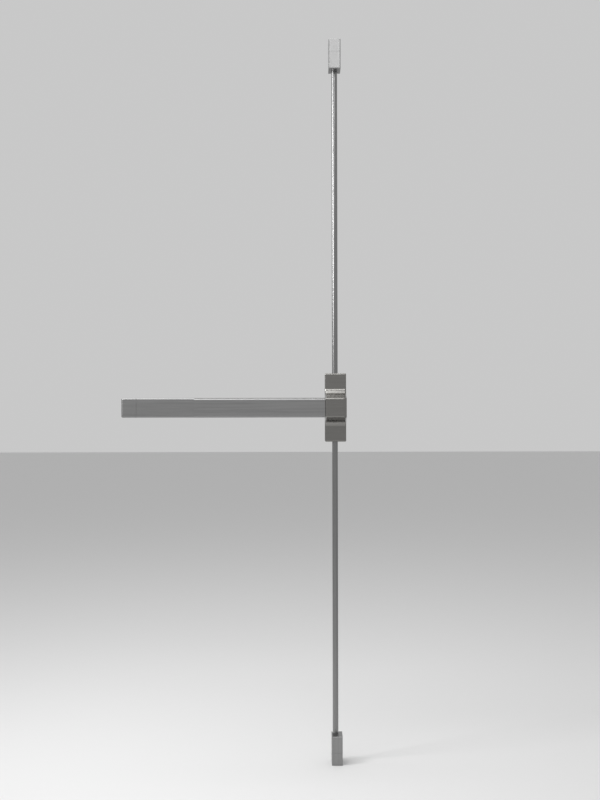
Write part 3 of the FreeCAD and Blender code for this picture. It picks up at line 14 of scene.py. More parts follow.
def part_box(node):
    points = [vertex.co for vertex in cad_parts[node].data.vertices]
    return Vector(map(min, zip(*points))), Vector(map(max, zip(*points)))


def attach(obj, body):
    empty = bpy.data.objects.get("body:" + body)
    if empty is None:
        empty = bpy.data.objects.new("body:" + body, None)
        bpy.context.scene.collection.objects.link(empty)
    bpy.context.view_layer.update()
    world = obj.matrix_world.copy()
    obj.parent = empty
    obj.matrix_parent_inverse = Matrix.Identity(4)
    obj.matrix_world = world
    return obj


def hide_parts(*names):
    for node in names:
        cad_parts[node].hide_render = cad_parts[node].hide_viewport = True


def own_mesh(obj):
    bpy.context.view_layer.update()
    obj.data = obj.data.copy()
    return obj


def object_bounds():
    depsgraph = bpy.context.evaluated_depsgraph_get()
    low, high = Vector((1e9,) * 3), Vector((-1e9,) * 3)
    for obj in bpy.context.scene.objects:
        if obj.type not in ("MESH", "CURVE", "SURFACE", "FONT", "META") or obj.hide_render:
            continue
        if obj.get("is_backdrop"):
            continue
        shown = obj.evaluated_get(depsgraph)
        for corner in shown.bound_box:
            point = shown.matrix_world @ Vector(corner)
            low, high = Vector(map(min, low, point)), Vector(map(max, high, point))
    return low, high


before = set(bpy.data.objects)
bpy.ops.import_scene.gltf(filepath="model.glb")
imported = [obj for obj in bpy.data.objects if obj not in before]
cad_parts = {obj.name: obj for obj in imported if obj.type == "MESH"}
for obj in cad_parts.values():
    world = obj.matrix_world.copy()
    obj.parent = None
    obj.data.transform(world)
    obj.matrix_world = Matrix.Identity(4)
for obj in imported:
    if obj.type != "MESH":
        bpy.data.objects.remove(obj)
log = logging.getLogger("panic_exit_bar")
MERGE = 0.000001        # points nearer than this are one
SMOOTH_ANGLE = math.radians(35.0)
NOISE_LOW = 0.3         # nearly all values of a noise lie between these two
NOISE_HIGH = 0.7
GRAIN_OCTAVES = 4.0
STREAK_OCTAVES = 3.0
CLOSED_RISE = 2.05      # rise of a spring's closed turn, in radii of its wire

Colour = tuple[float, float, float]
Point = tuple[float, float, float]
Ring = list[bmesh.types.BMVert]


class Grain(Enum):
    """Grain of a finish, as the scale of its noise along x, y and z."""

    ALONG_BAR = (14.0, 1500.0, 1500.0)
    UPRIGHT = (1500.0, 1500.0, 14.0)
    CAST = (420.0, 420.0, 420.0)


class Streak(Enum):
    """Broad streaks of a finish, as the scale of their noise along x, y and z."""

    ALONG_BAR = (2.5, 190.0, 190.0)
    UPRIGHT = (190.0, 190.0, 2.5)
    CLOUDS = (22.0, 22.0, 22.0)


def grey(value: float) -> Colour:
    """Neutral colour of one linear brightness."""
    return (value, value, value)


# ---------------------------------------------------------------- finishes
@dataclass(frozen=True)
class Finish:
    """Surface of a piece: colour, gloss, fine grain and broad streaks.

    Args:
        name: Name of the material.
        colour: Linear base colour.
        roughness: Middle roughness.
        grain: Scale of the fine grain.
        streak: Scale of the broad streaks.
        grain_depth: Height of the grain in metres.
        grain_share: Share by which the grain changes the roughness.
        streak_share: Share by which streaks change the brightness.
        metallic: 1 for a metal and 0 for the rest.
        anisotropy: How far the gloss spreads across the grain.
        turn: Turn of that spread, as a share of a full turn.
    """

    name: str
    colour: Colour
    roughness: float
    grain: Grain = Grain.CAST
    streak: Streak = Streak.CLOUDS
    grain_depth: float = 0.00001
    grain_share: float = 0.12
    streak_share: float = 0.05
    metallic: float = 1.0
    anisotropy: float = 0.0
    turn: float = 0.0

    def material(self) -> bpy.types.Material:
        """Builds the node material, or returns it where it exists.

        Returns:
            The material.
        """
        found = bpy.data.materials.get(self.name)
        if found is not None:
            return found
        material = bpy.data.materials.new(self.name)
        material.use_nodes = True
        tree = material.node_tree
        shader = tree.nodes["Principled BSDF"]
        shader.inputs["Metallic"].default_value = self.metallic
        shader.inputs["Anisotropic"].default_value = self.anisotropy
        shader.inputs["Anisotropic Rotation"].default_value = self.turn
        grain = self._noise(tree, self.grain.value, GRAIN_OCTAVES)
        streak = self._noise(tree, self.streak.value, STREAK_OCTAVES)
        self._colour(tree, shader, grain, streak)
        self._gloss(tree, shader, grain, streak)
        self._relief(tree, shader, grain)
        return material

    @staticmethod
    def _noise(tree: bpy.types.NodeTree, scale: Point, detail: float) -> bpy.types.NodeSocket:
        """Stretched noise in the object's own coordinates.

        Args:
            tree: Node tree of the material.
            scale: Scale along x, y and z.
            detail: Number of octaves.

        Returns:
            The noise's grey output.
        """
        place = tree.nodes.new("ShaderNodeTexCoord")
        stretch = tree.nodes.new("ShaderNodeMapping")
        stretch.inputs["Scale"].default_value = scale
        noise = tree.nodes.new("ShaderNodeTexNoise")
        noise.inputs["Scale"].default_value = 1.0
        noise.inputs["Detail"].default_value = detail
        tree.links.new(place.outputs["Object"], stretch.inputs["Vector"])
        tree.links.new(stretch.outputs["Vector"], noise.inputs["Vector"])
        return noise.outputs[0]

    @staticmethod
    def _spread(tree: bpy.types.NodeTree, source: bpy.types.NodeSocket, low: float,
                high: float) -> bpy.types.NodeSocket:
        """Noise mapped to a range of values.

        Args:
            tree: Node tree of the material.
            source: The noise.
            low: Value of its dark parts.
            high: Value of its bright parts.

        Returns:
            The mapped value.
        """
        node = tree.nodes.new("ShaderNodeMapRange")
        node.inputs["From Min"].default_value = NOISE_LOW
        node.inputs["From Max"].default_value = NOISE_HIGH
        node.inputs["To Min"].default_value = low
        node.inputs["To Max"].default_value = high
        tree.links.new(source, node.inputs["Value"])
        return node.outputs["Result"]

    def _colour(self, tree: bpy.types.NodeTree, shader: bpy.types.Node,
                grain: bpy.types.NodeSocket, streak: bpy.types.NodeSocket) -> None:
        """Links the base colour, a little darker and lighter in streaks and grain.

        Args:
            tree: Node tree of the material.
            shader: Its shader.
            grain: Noise of the fine grain.
            streak: Noise of the broad streaks.
        """
        broad = self._spread(tree, streak, 1.0 - self.streak_share, 1.0 + self.streak_share)
        fine = self._spread(tree, grain, 1.0 - self.streak_share, 1.0 + self.streak_share)
        both = tree.nodes.new("ShaderNodeMath")
        both.operation = "MULTIPLY"
        tree.links.new(broad, both.inputs[0])
        tree.links.new(fine, both.inputs[1])
        tint = tree.nodes.new("ShaderNodeVectorMath")
        tint.operation = "SCALE"
        tint.inputs[0].default_value = self.colour
        tree.links.new(both.outputs["Value"], tint.inputs["Scale"])
        tree.links.new(tint.outputs["Vector"], shader.inputs["Base Color"])

    def _gloss(self, tree: bpy.types.NodeTree, shader: bpy.types.Node,
               grain: bpy.types.NodeSocket, streak: bpy.types.NodeSocket) -> None:
        """Links the roughness to the grain and the streaks.

        Args:
            tree: Node tree of the material.
            shader: Its shader.
            grain: Noise of the fine grain.
            streak: Noise of the broad streaks.
        """
        share = self.grain_share
        low = self.roughness * (1 - share)
        high = self.roughness * (1 + share)
        fine = self._spread(tree, grain, low, high)
        broad = self._spread(tree, streak, 1 - share / 2, 1 + share / 2)
        both = tree.nodes.new("ShaderNodeMath")
        both.operation = "MULTIPLY"
        tree.links.new(fine, both.inputs[0])
        tree.links.new(broad, both.inputs[1])
        tree.links.new(both.outputs["Value"], shader.inputs["Roughness"])

    def _relief(self, tree: bpy.types.NodeTree, shader: bpy.types.Node,
                grain: bpy.types.NodeSocket) -> None:
        """Links a fine relief to the grain.

        Args:
            tree: Node tree of the material.
            shader: Its shader.
            grain: Noise of the fine grain.
        """
        bump = tree.nodes.new("ShaderNodeBump")
        bump.inputs["Strength"].default_value = 1.0
        bump.inputs["Distance"].default_value = self.grain_depth
        tree.links.new(grain, bump.inputs["Height"])
        tree.links.new(bump.outputs["Normal"], shader.inputs["Normal"])


@dataclass(frozen=True)
class BarFinish(Finish):
    """Satin metal brushed along the bar."""

    grain: Grain = Grain.ALONG_BAR
    streak: Streak = Streak.ALONG_BAR
    anisotropy: float = 0.5
    turn: float = 0.25


@dataclass(frozen=True)
class UprightFinish(Finish):
    """Satin metal brushed or drawn along the rods."""

    grain: Grain = Grain.UPRIGHT
    streak: Streak = Streak.UPRIGHT
    anisotropy: float = 0.5


SATIN_BAR = BarFinish("satin_bar", grey(0.28), 0.34)
SATIN_CASE = BarFinish("satin_case", (0.245, 0.24, 0.23), 0.20, anisotropy=0.3)
SATIN_UNIT = UprightFinish("satin_unit", grey(0.29), 0.32)
SATIN_ROD = UprightFinish("drawn_rod", grey(0.26), 0.30, grain_depth=0.000001, anisotropy=0.0)
RAIL = BarFinish("anodised_rail", grey(0.42), 0.42)
ZINC = Finish("zinc_coated", (0.50, 0.51, 0.50), 0.38, streak_share=0.12)
BRIGHT = Finish("bright_screw", grey(0.58), 0.26, streak_share=0.08)
TURNED = UprightFinish("lathe_steel", grey(0.48), 0.30, anisotropy=0.3)
SPRING = Finish("spring_wire", grey(0.30), 0.32, streak_share=0.08)
NYLON = Finish("natural_nylon", (0.72, 0.70, 0.62), 0.50, metallic=0.0, streak_share=0.04)
RUBBER = Finish("soft_rubber", grey(0.025), 0.75, metallic=0.0, grain_depth=0.00003)
FLOOR = Finish("studio_floor", grey(0.72), 0.85, metallic=0.0, grain_depth=0.0, streak_share=0.0)


def dress(finish: Finish, *nodes: str) -> None:
    """Gives CAD nodes that stay in view their finish.

    Args:
        finish: The finish.
        nodes: Names of the nodes.
    """
    for name in nodes:
        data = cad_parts[name].data
        data.materials.clear()
        data.materials.append(finish.material())
        log.info("%s: %s", name, finish.name)


@dataclass
class Box:
    """Lowest and highest corner of one solid, in metres."""

    low: Vector
    high: Vector

    @property
    def middle(self) -> Vector:
        """Centre of the box."""
        return (self.low + self.high) / 2

    @property
    def size(self) -> Vector:
        """Lengths of the box's sides."""
        return self.high - self.low


def solids_of(node: str) -> list[Box]:
    """Boxes of the separate solids in a CAD node, from its left to its right and upwards.

    Args:
        node: Name of the node.

    Returns:
        One box for each solid.
    """
    mesh = bmesh.new()
    mesh.from_mesh(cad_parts[node].data)
    bmesh.ops.remove_doubles(mesh, verts=mesh.verts, dist=MERGE)
    boxes = []
    left = set(mesh.verts)
    while left:
        found = {left.pop()}
        to_visit = list(found)
        while to_visit:
            vertex = to_visit.pop()
            near = {edge.other_vert(vertex) for edge in vertex.link_edges} - found
            found |= near
            to_visit.extend(near)
        left -= found
        places = [vertex.co for vertex in found]
        boxes.append(Box(Vector([min(p[i] for p in places) for i in range(3)]),
                         Vector([max(p[i] for p in places) for i in range(3)])))
    mesh.free()
    return sorted(boxes, key=lambda box: (round(box.low.x, 4), round(box.low.z, 4)))


# ---------------------------------------------------------------- forms
class Form:
    """Closed mesh put together from rings of points."""

    def __init__(self) -> None:
        """Starts an empty mesh."""
        self.mesh = bmesh.new()

    def ring(self, radius: float, height: float, sides: int) -> Ring:
        """Round ring of points about the z axis.

        Args:
            radius: Radius of the ring.
            height: Height of the ring.
            sides: Number of points.

        Returns:
            The ring's points.
        """
        return self.loop([(radius * math.cos(2 * math.pi * side / sides),
                           radius * math.sin(2 * math.pi * side / sides), height)
                          for side in range(sides)])

    def loop(self, points: list[Point]) -> Ring:
        """Points of the mesh at the places given."""
        return [self.mesh.verts.new(point) for point in points]

    def skin(self, first: Ring, second: Ring) -> None:
        """Faces between two rings of as many points.

        Args:
            first: One ring.
            second: The other ring.
        """
        count = len(first)
        for side in range(count):
            after = (side + 1) % count
            self.mesh.faces.new((first[side], first[after], second[after], second[side]))

    def skins(self, rings: list[Ring]) -> None:
        """Faces between each ring and the next."""
        for first, second in zip(rings, rings[1:]):
            self.skin(first, second)

    def lid(self, ring: Ring) -> None:
        """One flat face inside a ring."""
        self.mesh.faces.new(ring)

    def lid_round(self, outer: Ring, inner: Ring) -> None:
        """Flat faces between a ring and an outline inside or outside it.

        Args:
            outer: The ring.
            inner: The outline, at the same height.
        """
        edges = []
        for ring in (outer, inner):
            for side, vertex in enumerate(ring):
                pair = (vertex, ring[(side + 1) % len(ring)])
                edges.append(self.mesh.edges.get(pair) or self.mesh.edges.new(pair))
        bmesh.ops.triangle_fill(self.mesh, edges=edges, use_beauty=True)

    def lathe(self, outline: list[tuple[float, float]], sides: int) -> list[Ring]:
        """Solid of revolution from radii and heights, closed at both ends.

        Args:
            outline: Radius and height of each ring.
            sides: Points round each ring.

        Returns:
            The rings.
        """
        rings = [self.ring(radius, height, sides) for radius, height in outline]
        self.skins(rings)
        self.lid(rings[0])
        self.lid(rings[-1])
        return rings

    def thread(self, radius: float, root: float, pitch: float, start: float, end: float,
               sides: int, foot: Ring | None = None) -> None:
        """Threaded shank about the z axis, closed at its far end.

        Args:
            radius: Radius of the crest.
            root: Radius of the root, and of both ends.
            pitch: Rise of the thread in one turn.
            start: Lower end.
            end: Upper end.
            sides: Points in one turn.
            foot: Ring of a head that the shank grows from, or None to close the start too.
        """
        # A turn has a row of roots and a row of crests. The rows begin one turn before the
        # start and run past the end, and those outside are pulled in to the nearer end.
        rows = 2 * math.ceil((end - start) / pitch) + 4
        columns = []
        for side in range(sides + 1):
            angle = 2 * math.pi * side / sides
            column = []
            for row in range(-2, rows):
                height = start + pitch * (row / 2 + side / sides)
                inside = start + pitch / 4 < height < end - pitch / 4
                reach = radius if row % 2 and inside else root
                height = min(max(height, start), end)
                column.append((reach * math.cos(angle), reach * math.sin(angle), height))
            columns.append(column)
        grid = [self.loop(column) for column in columns]
        for first, second in zip(grid, grid[1:]):
            for row in range(len(first) - 1):
                corners = (first[row], second[row], second[row + 1], first[row + 1])
                self.mesh.faces.new(corners)
        near = self.ring(root, start, sides)
        if foot is None:
            self.lid(near)
        else:
            self.lid_round(foot, near)
        self.lid(self.ring(root, end, sides))

    def coil(self, coil_radius: float, wire_radius: float, length: float, turns: float,
             closed_turns: float, steps: int, sides: int) -> None:
        """Spring of round wire whose end turns lie close together.

        Args:
            coil_radius: Radius of the wire's middle line.
            wire_radius: Radius of the wire.
            length: Overall length along the z axis.
            turns: Number of all turns.
            closed_turns: Turns at each end that lie close.
            steps: Wire sections in one turn.
            sides: Points round the wire.
        """
        close_rise = CLOSED_RISE * wire_radius
        open_turns = turns - 2 * closed_turns
        open_rise = (length - 2 * wire_radius - 2 * closed_turns * close_rise) / open_turns
        rings = []
        for step in range(round(turns * steps) + 1):
            turn = step / steps
            close = min(turn, closed_turns) + max(0.0, turn - closed_turns - open_turns)
            height = wire_radius + close * close_rise + (turn - close) * open_rise
            angle = 2 * math.pi * turn
            points = []
            for side in range(sides):
                around = 2 * math.pi * side / sides
                reach = coil_radius + wire_radius * math.cos(around)
                points.append((reach * math.cos(angle), reach * math.sin(angle),
                               height + wire_radius * math.sin(around)))
            rings.append(self.loop(points))
        self.skins(rings)
        self.lid(rings[0])
        self.lid(rings[-1])

    def place(self, matrix: Matrix) -> None:
        """Moves the whole form."""
        bmesh.ops.transform(self.mesh, matrix=matrix, verts=self.mesh.verts)

    def take(self, other: Form) -> None:
        """Adds another form, which is used up.

        Args:
            other: The form to add.
        """
        part = other.close()
        self.mesh.from_mesh(part)
        bpy.data.meshes.remove(part)

    def close(self) -> bpy.types.Mesh:
        """Merges points that coincide and turns every face outwards.

        Returns:
            The finished mesh.
        """
        bmesh.ops.remove_doubles(self.mesh, verts=self.mesh.verts, dist=MERGE)
        bmesh.ops.dissolve_degenerate(self.mesh, edges=self.mesh.edges, dist=MERGE)
        bmesh.ops.recalc_face_normals(self.mesh, faces=self.mesh.faces)
        data = bpy.data.meshes.new("form")
        self.mesh.to_mesh(data)
        self.mesh.free()
        data.shade_smooth()
        data.set_sharp_from_angle(angle=SMOOTH_ANGLE)
        return data


def facing(start: Vector, direction: Vector) -> Matrix:
    """Matrix that takes the z axis from the origin to a start and a direction."""
    return Matrix.Translation(start) @ direction.to_track_quat("Z", "Y").to_matrix().to_4x4()


def stand_in(node: str, data: bpy.types.Mesh, finish: Finish,
             body: str) -> bpy.types.Object:
    """Shows a finer mesh in place of a CAD node.

    Args:
        node: Name of the CAD node.
        data: The finer mesh.
        finish: Its finish.
        body: The body that it rides on.

    Returns:
        The new piece.
    """
    data.name = node + "_fine"
    data.materials.append(finish.material())
    piece = bpy.data.objects.new(node + "_fine", data)
    bpy.context.scene.collection.objects.link(piece)
    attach(piece, body)
    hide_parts(node)
    log.info("%s: finer piece with %d faces", node, len(data.polygons))
    return piece


# ---------------------------------------------------------------- fasteners
@dataclass
class CrossRecess:
    """Cross recess in the head of a screw, narrower at its floor.

    Args:
        length: Half length of the cross at its mouth.
        width: Half width of its arms there.
        depth: Depth of the recess.
        floor_share: Size of the floor, as a share of the mouth's.
    """

    length: float = 0.0016
    width: float = 0.0004
    depth: float = 0.0012
    floor_share: float = 0.55

    def cut(self, form: Form, rim: Ring) -> None:
        """Fills a head inside its rim and sinks the recess in it.

        Args:
            form: The screw's form.
            rim: Ring round the flat of the head, at height 0.
        """
        mouth = form.loop(self._outline(1.0, 0.0))
        floor = form.loop(self._outline(self.floor_share, self.depth))
        form.lid_round(rim, mouth)
        form.skin(mouth, floor)
        form.lid(floor)

    def _outline(self, share: float, height: float) -> list[Point]:
        """Outline of the cross.

        Args:
            share: Scale of the outline.
            height: Height of its points.

        Returns:
            Its twelve corners.
        """
        far = self.length * share
        near = self.width * share
        corners = [(far, -near), (far, near), (near, near), (near, far), (-near, far),
                   (-near, near), (-far, near), (-far, -near), (-near, -near), (-near, -far),
                   (near, -far), (near, -near)]
        return [(x, y, height) for x, y in corners]


@dataclass
class FlatScrews:
    """Countersunk screws with a cross recess that stand for one CAD node.

    Args:
        node: The CAD node.
        axis: 0 where the screws lie along x, 2 where they are upright.
        head: Height of the countersunk head.
        head_radius: Radius of the head.
        shank_radius: Radius of the thread's crest.
        thread_root: Radius of the thread's root.
        pitch: Rise of the thread in one turn.
        rim: Chamfer of the head's edge.
        sides: Points round the head.
        same_level: Screws whose heights differ by less hold the same part.
    """

    node: str
    axis: int
    head: float
    head_radius: float = 0.003
    shank_radius: float = 0.0015
    thread_root: float = 0.0012
    pitch: float = 0.0006
    rim: float = 0.00015
    sides: int = 32
    same_level: float = 0.002

    def build(self) -> None:
        """Builds the screws as one piece on the fixed frame."""
        form = Form()
        boxes = solids_of(self.node)
        for box in boxes:
            middle = self._middle_of_neighbours(box, boxes)
            out = 1.0 if box.middle[self.axis] > middle else -1.0
            head = box.middle.copy()
            head[self.axis] = (box.high if out > 0 else box.low)[self.axis]
            inward = Vector((0.0, 0.0, 0.0))
            inward[self.axis] = -out
            screw = self._screw(box.size[self.axis])
            screw.place(facing(head, inward))
            form.take(screw)
        stand_in(self.node, form.close(), BRIGHT, "fixed_frame")

    def _middle_of_neighbours(self, box: Box, boxes: list[Box]) -> float:
        """Middle, along the screws' axis, of the screws that hold the same part.

        Args:
            box: Box of one of these screws.
            boxes: Boxes of all screws of the node.

        Returns:
            The middle in metres.
        """
        if self.axis == 2:
            near = boxes
        else:
            near = [other for other in boxes
                    if abs(other.middle.z - box.middle.z) < self.same_level]
        return sum(other.middle[self.axis] for other in near) / len(near)

    def _screw(self, length: float) -> Form:
        """One screw whose head lies at the origin and whose tip points up the z axis.

        Args:
            length: Its overall length.

        Returns:
            The screw's form.
        """
        form = Form()
        outer = form.ring(self.head_radius - self.rim, 0.0, self.sides)
        edge = form.ring(self.head_radius, self.rim, self.sides)
        neck = form.ring(self.shank_radius, self.head, self.sides)
        form.skins([outer, edge, neck])
        CrossRecess().cut(form, outer)
        form.thread(self.shank_radius, self.thread_root, self.pitch, self.head, length,
                    self.sides // 2, neck)
        return form


@dataclass
class PanScrews:
    """Pan-head screws of the rail, with a domed head and a cross recess.

    Args:
        node: The CAD node.
        head_radius: Radius of the head.
        head: Height of the head.
        flat_share: Radius of the head's flat, as a share of the head's.
        dome_share: Radius and height of the dome's middle, as shares of the head's.
        side_share: Height of the dome's foot, as a share of the head's.
        shank_radius: Radius of the thread's crest.
        thread_root: Radius of the thread's root.
        pitch: Rise of the thread in one turn.
        recess: Half length and half width of the cross recess.
        sides: Points round the head.
    """

    node: str = "rail_screws"
    head_radius: float = 0.0035
    head: float = 0.0022
    flat_share: float = 0.72
    dome_share: tuple[float, float] = (0.92, 0.14)
    side_share: float = 0.40
    shank_radius: float = 0.0025
    thread_root: float = 0.0021
    pitch: float = 0.0008
    recess: tuple[float, float] = (0.0018, 0.00045)
    sides: int = 32

    def build(self) -> None:
        """Builds the screws as one piece on the fixed frame."""
        form = Form()
        for box in solids_of(self.node):
            screw = self._screw(box.size.y)
            start = Vector((box.middle.x, box.low.y, box.middle.z))
            screw.place(facing(start, Vector((0.0, 1.0, 0.0))))
            form.take(screw)
        stand_in(self.node, form.close(), BRIGHT, "fixed_frame")

    def _screw(self, length: float) -> Form:
        """One screw whose head lies at the origin and whose tip points up the z axis.

        Args:
            length: Its overall length.

        Returns:
            The screw's form.
        """
        form = Form()
        reach, height = self.dome_share
        flat = form.ring(self.head_radius * self.flat_share, 0.0, self.sides)
        dome = form.ring(self.head_radius * reach, self.head * height, self.sides)
        side = form.ring(self.head_radius, self.head * self.side_share, self.sides)
        base = form.ring(self.head_radius, self.head, self.sides)
        form.skins([flat, dome, side, base])
        CrossRecess(*self.recess).cut(form, flat)
        form.thread(self.shank_radius, self.thread_root, self.pitch, self.head, length,
                    self.sides // 2, base)
        return form


@dataclass
class DomedRivets:
    """Round-headed rivets in the rail's web.

    Args:
        node: The CAD node.
        head_radius: Radius of the head.
        head: Height of the head.
        tip_radius: Radius of the small flat on the dome.
        shank_radius: Radius of the shank.
        rings: Steps from the dome's flat to its foot.
        sides: Points round the head.
    """

    node: str = "rail_rivets"
    head_radius: float = 0.0028
    head: float = 0.0013
    tip_radius: float = 0.0002
    shank_radius: float = 0.0016
    rings: int = 6
    sides: int = 28

    def build(self) -> None:
        """Builds the rivets as one piece on the fixed frame."""
        form = Form()
        for box in solids_of(self.node):
            length = box.size.y
            dome = []
            for step in range(self.rings + 1):
                angle = math.pi / 2 * step / self.rings
                radius = max(self.tip_radius, self.head_radius * math.sin(angle))
                dome.append((radius, self.head * (1 - math.cos(angle))))
            outline = dome + [(self.shank_radius, self.head), (self.shank_radius, length)]
            rivet = Form()
            rivet.lathe(outline, self.sides)
            start = Vector((box.middle.x, box.low.y, box.middle.z))
            rivet.place(facing(start, Vector((0.0, 1.0, 0.0))))
            form.take(rivet)
        stand_in(self.node, form.close(), BRIGHT, "fixed_frame")


@dataclass
class LockNut:
    """Hexagonal lock nut with chamfered corners.

    Args:
        node: The CAD node.
        body: The body that it rides on.
        chamfer: Angle of the chamfer to the nut's face.
        face_share: Radius of the face inside the chamfer, as a share of half the flats.
        bore: Radius of the bore.
        sides: Points round the nut.
    """

    node: str
    body: str
    chamfer: float = math.radians(30.0)
    face_share: float = 0.95
    bore: float = 0.00405
    sides: int = 48

    def build(self) -> None:
        """Builds the nut."""
        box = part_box(self.node)
        low, high = Vector(box[0]), Vector(box[1])
        corner = max(high.x - low.x, high.y - low.y) / 2
        flat = min(high.x - low.x, high.y - low.y) / 2
        height = high.z - low.z
        face = flat * self.face_share
        turn = 0.0 if high.x - low.x > high.y - low.y else math.pi / 6
        form = Form()
        rings = [form.ring(self.bore, 0.0, self.sides), form.ring(face, 0.0, self.sides)]
        lower, upper = [], []
        for side in range(self.sides):
            angle = 2 * math.pi * side / self.sides
            from_flat = (angle - turn) % (math.pi / 3) - math.pi / 6
            reach = min(flat / math.cos(from_flat), corner)
            rise = (reach - face) * math.tan(self.chamfer)
            place = (reach * math.cos(angle), reach * math.sin(angle))
            lower.append((*place, rise))
            upper.append((*place, height - rise))
        rings += [form.loop(lower), form.loop(upper)]
        rings += [form.ring(face, height, self.sides), form.ring(self.bore, height, self.sides)]
        form.skins(rings + rings[:1])
        middle = (low + high) / 2
        form.place(Matrix.Translation((middle.x, middle.y, low.z)))
        stand_in(self.node, form.close(), BRIGHT, self.body)


@dataclass
class ThreadedStud:
    """Stud that sets a rod's length.

    Args:
        node: The CAD node.
        body: The body that it rides on.
        pitch: Rise of the thread in one turn.
        thread_depth: Depth of the thread.
        sides: Points in one turn.
    """

    node: str
    body: str
    pitch: float = 0.00125
    thread_depth: float = 0.00065
    sides: int = 28

    def build(self) -> None:
        """Builds the stud."""
        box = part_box(self.node)
        low, high = Vector(box[0]), Vector(box[1])
        radius = (high.x - low.x) / 2
        middle = (low + high) / 2
        form = Form()
        root = radius - self.thread_depth
        form.thread(radius, root, self.pitch, 0.0, high.z - low.z, self.sides)
        form.place(Matrix.Translation((middle.x, middle.y, low.z)))
        stand_in(self.node, form.close(), BRIGHT, self.body)


@dataclass
class WireSpring:
    """Compression spring of round wire.

    Args:
        node: The CAD node.
        joint: Name of the joint that shortens it; not used.
        fixed_end: The point that stays put.
        direction: The way from there to the end that moves.
        wire_radius: Radius of its wire.
        turns: Number of its turns.
        closed_turns: Turns at each end that lie close.
        steps: Wire sections in one turn.
        sides: Points round the wire.
    """

    node: str
    joint: str
    fixed_end: Vector
    direction: Vector
    wire_radius: float
    turns: float
    closed_turns: float = 1.25
    steps: int = 40
    sides: int = 12

    def build(self) -> None:
        """Builds the spring."""
        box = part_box(self.node)
        size = Vector(box[1]) - Vector(box[0])
        length = abs(size.dot(self.direction))
        coil_radius = min(size) / 2 if self.direction.z == 0 else size.x / 2
        form = Form()
        form.coil(coil_radius - self.wire_radius, self.wire_radius, length, self.turns,
                  self.closed_turns, self.steps, self.sides)
        form.place(facing(self.fixed_end, self.direction))
        piece = stand_in(self.node, form.close(), SPRING, "fixed_frame")
        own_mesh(piece)


# ---------------------------------------------------------------- sub-assemblies
@dataclass
class CentreCase:
    """Centre case: cover, base plate, levers and their posts.

    Args:
        screw_head: Height of the cover screws' heads.
    """

    screw_head: float = 0.002

    def build(self) -> None:
        """Dresses the case and builds its screws."""
        dress(SATIN_CASE, "centre_cover")
        dress(ZINC, "centre_chassis", "upper_lever", "lower_lever")
        dress(BRIGHT, "lever_posts")
        FlatScrews("cover_screws", 2, self.screw_head).build()


@dataclass
class FixedBar:
    """Rail with its filler cover, end cap and end bracket.

    Args:
        screw_head: Height of the end cap screws' heads.
    """

    screw_head: float = 0.002

    def build(self) -> None:
        """Dresses the fixed part of the bar and builds its fasteners."""
        dress(SATIN_BAR, "filler_cover", "end_cap")
        dress(RAIL, "rail")
        dress(ZINC, "end_bracket")
        FlatScrews("end_cap_screws", 2, self.screw_head).build()
        PanScrews().build()
        DomedRivets().build()


@dataclass
class PushPad:
    """Touch bar with its caps, hangers and buffers."""

    def build(self) -> None:
        """Dresses the pad."""
        dress(SATIN_BAR, "push_pad", "pad_cap_left", "pad_cap_right")
        dress(ZINC, "rear_hanger", "front_hanger")
        dress(BRIGHT, "hanger_pins")
        dress(RUBBER, "pad_buffers")


@dataclass
class DrawBarTrain:
    """Cranks, draw bar and return spring inside the rail.

    Args:
        wire_radius: Radius of the return spring's wire.
        turns: Number of its turns.
    """

    wire_radius: float = 0.0008
    turns: float = 10.5

    def build(self) -> None:
        """Dresses the train and builds its spring."""
        dress(ZINC, "rear_crank_bracket", "front_crank_bracket", "rear_crank", "front_crank",
              "draw_bar", "draw_bar_head", "spring_bracket")
        dress(BRIGHT, "crank_pivot_pins", "rear_crank_pin", "front_crank_pin", "head_pins",
              "spring_rod", "spring_collar")
        dress(NYLON, "draw_bar_guides")
        low, high = (Vector(corner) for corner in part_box("return_spring"))
        end = Vector((high.x, (low.y + high.y) / 2, (low.z + high.z) / 2))
        WireSpring("return_spring", "draw_bar_slide", end, Vector((-1.0, 0.0, 0.0)),
                   self.wire_radius, self.turns).build()


@dataclass
class RodLine:
    """One upright rod with its carrier, stud, nut, bolt and spring.

    Args:
        end: "top" or "bottom".
        outward: The way from the centre case to the rod's end.
        wire_radius: Radius of the bolt spring's wire.
        turns: Number of its turns.
    """

    end: str
    outward: Vector
    wire_radius: float = 0.0006
    turns: float = 7.5

    def build(self) -> None:
        """Dresses the rod and builds its finer pieces."""
        body = self.end + "_rod"
        dress(SATIN_ROD, body)
        dress(TURNED, self.end + "_rod_carrier", self.end + "_bolt")
        ThreadedStud(self.end + "_rod_stud", body).build()
        LockNut(self.end + "_rod_nut", body).build()
        node = self.end + "_bolt_spring"
        low, high = (Vector(corner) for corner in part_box(node))
        foot = low.z if self.outward.z > 0 else high.z
        start = Vector(((low.x + high.x) / 2, (low.y + high.y) / 2, foot))
        WireSpring(node, body + "_slide", start, self.outward, self.wire_radius,
                   self.turns).build()


@dataclass
class EndUnits:
    """Latch cases and strikes at the ends of the rods.

    Args:
        screw_head: Height of the cover screws' heads.
    """

    screw_head: float = 0.0015

    def build(self) -> None:
        """Dresses the units and builds their screws."""
        for end in ("top", "bottom"):
            dress(SATIN_UNIT, end + "_latch_cover", end + "_strike_cover")
            dress(ZINC, end + "_latch_base", end + "_strike_base")
        dress(NYLON, "rod_bushes")
        FlatScrews("unit_cover_screws", 0, self.screw_head).build()


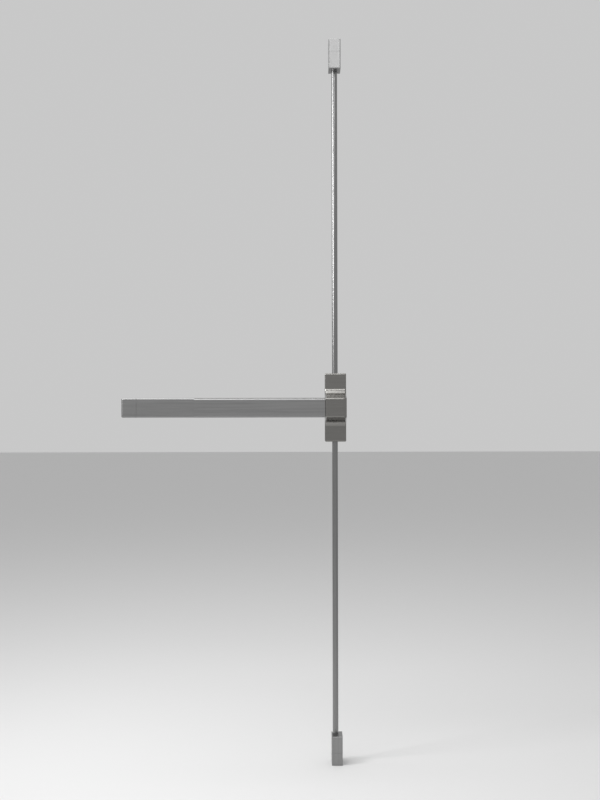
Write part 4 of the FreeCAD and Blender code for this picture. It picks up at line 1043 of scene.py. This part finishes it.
# ---------------------------------------------------------------- studio
@dataclass
class Lamp:
    """Soft rectangular light.

    Args:
        name: Name of the light.
        place: Its centre in metres.
        target: The point that it faces.
        size: Its width and height in metres.
        power: Its power in watts.
    """

    name: str
    place: Point
    target: Point
    size: tuple[float, float]
    power: float

    def build(self) -> None:
        """Builds the light, unseen by the camera."""
        data = bpy.data.lights.new(self.name, "AREA")
        data.shape = "RECTANGLE"
        data.size, data.size_y = self.size
        data.energy = self.power
        lamp = bpy.data.objects.new(self.name, data)
        lamp.visible_camera = False
        bpy.context.scene.collection.objects.link(lamp)
        lamp.location = self.place
        away = Vector(self.place) - Vector(self.target)
        lamp.rotation_euler = away.to_track_quat("Z", "Y").to_euler()


LAMPS = (
    Lamp("side", (-1.5, -0.65, 0.9), (-0.05, 0.0, 0.55), (0.5, 1.05), 22.0),
    Lamp("front", (0.14, -4.5, 2.5), (-0.1, 0.0, 0.6), (1.6, 1.0), 16.0),
    Lamp("overhead", (-0.4, 1.8, 3.0), (-0.4, 1.2, 0.0), (2.4, 3.8), 16.0),
    Lamp("upper_left", (-0.9, -0.95, 2.4), (-0.9, -0.8, 0.0), (2.0, 2.6), 46.0),
)


@dataclass
class Studio:
    """Floor, background, lights and the camera of the main view.

    Args:
        camera_place: Place of the camera in metres.
        lens: Focal length in millimetres.
        sensor: Width of the sensor in millimetres.
        reach: Furthest distance that the camera sees, in metres.
        roll: Roll of the camera in degrees.
        surroundings: Colour of the background.
        floor_size: Side of the floor in metres.
    """

    camera_place: Point = (-0.1068, -3.37, 0.0228)
    lens: float = 50.0
    sensor: float = 36.0
    reach: float = 300.0
    roll: float = -0.12
    surroundings: Colour = grey(0.58)
    floor_size: float = 40.0

    def build(self) -> None:
        """Builds everything round the object."""
        self._floor()
        self._world()
        for lamp in LAMPS:
            lamp.build()
        self._camera()
        log.info("studio: floor, background, %d lamps and camera", len(LAMPS))

    def _floor(self) -> None:
        """Pale floor that the object's lowest point meets."""
        low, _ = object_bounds()
        bpy.ops.mesh.primitive_plane_add(size=self.floor_size, location=(0.0, 0.0, low[2]))
        floor = bpy.context.object
        floor.name = "studio_floor"
        floor.data.materials.append(FLOOR.material())
        floor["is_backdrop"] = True

    def _world(self) -> None:
        """Even pale surroundings, seen, reflected and lighting the object alike."""
        world = bpy.data.worlds.new("studio")
        bpy.context.scene.world = world
        world.use_nodes = True
        plain = world.node_tree.nodes["Background"]
        plain.inputs["Color"].default_value = (*self.surroundings, 1.0)
        plain.inputs["Strength"].default_value = 1.0

    def _camera(self) -> None:
        """Camera level with the bar, straight in front of the device."""
        data = bpy.data.cameras.new("camera")
        data.lens = self.lens
        data.sensor_width = self.sensor
        data.clip_end = self.reach
        camera = bpy.data.objects.new("camera", data)
        bpy.context.scene.collection.objects.link(camera)
        camera.location = self.camera_place
        look = Matrix.Rotation(math.radians(90.0), 4, "X")
        turn = Matrix.Rotation(math.radians(self.roll), 4, "Z")
        camera.rotation_euler = (look @ turn).to_euler()
        bpy.context.scene.camera = camera


def main() -> None:
    """Builds the looks, sub-assembly by sub-assembly."""
    logging.basicConfig(level=logging.INFO, format="%(name)s: %(message)s")
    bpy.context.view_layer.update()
    bpy.context.scene.view_settings.view_transform = "Standard"
    CentreCase().build()
    FixedBar().build()
    PushPad().build()
    DrawBarTrain().build()
    RodLine("top", Vector((0.0, 0.0, 1.0))).build()
    RodLine("bottom", Vector((0.0, 0.0, -1.0))).build()
    EndUnits().build()
    Studio().build()


if __name__ == "__main__":
    main()
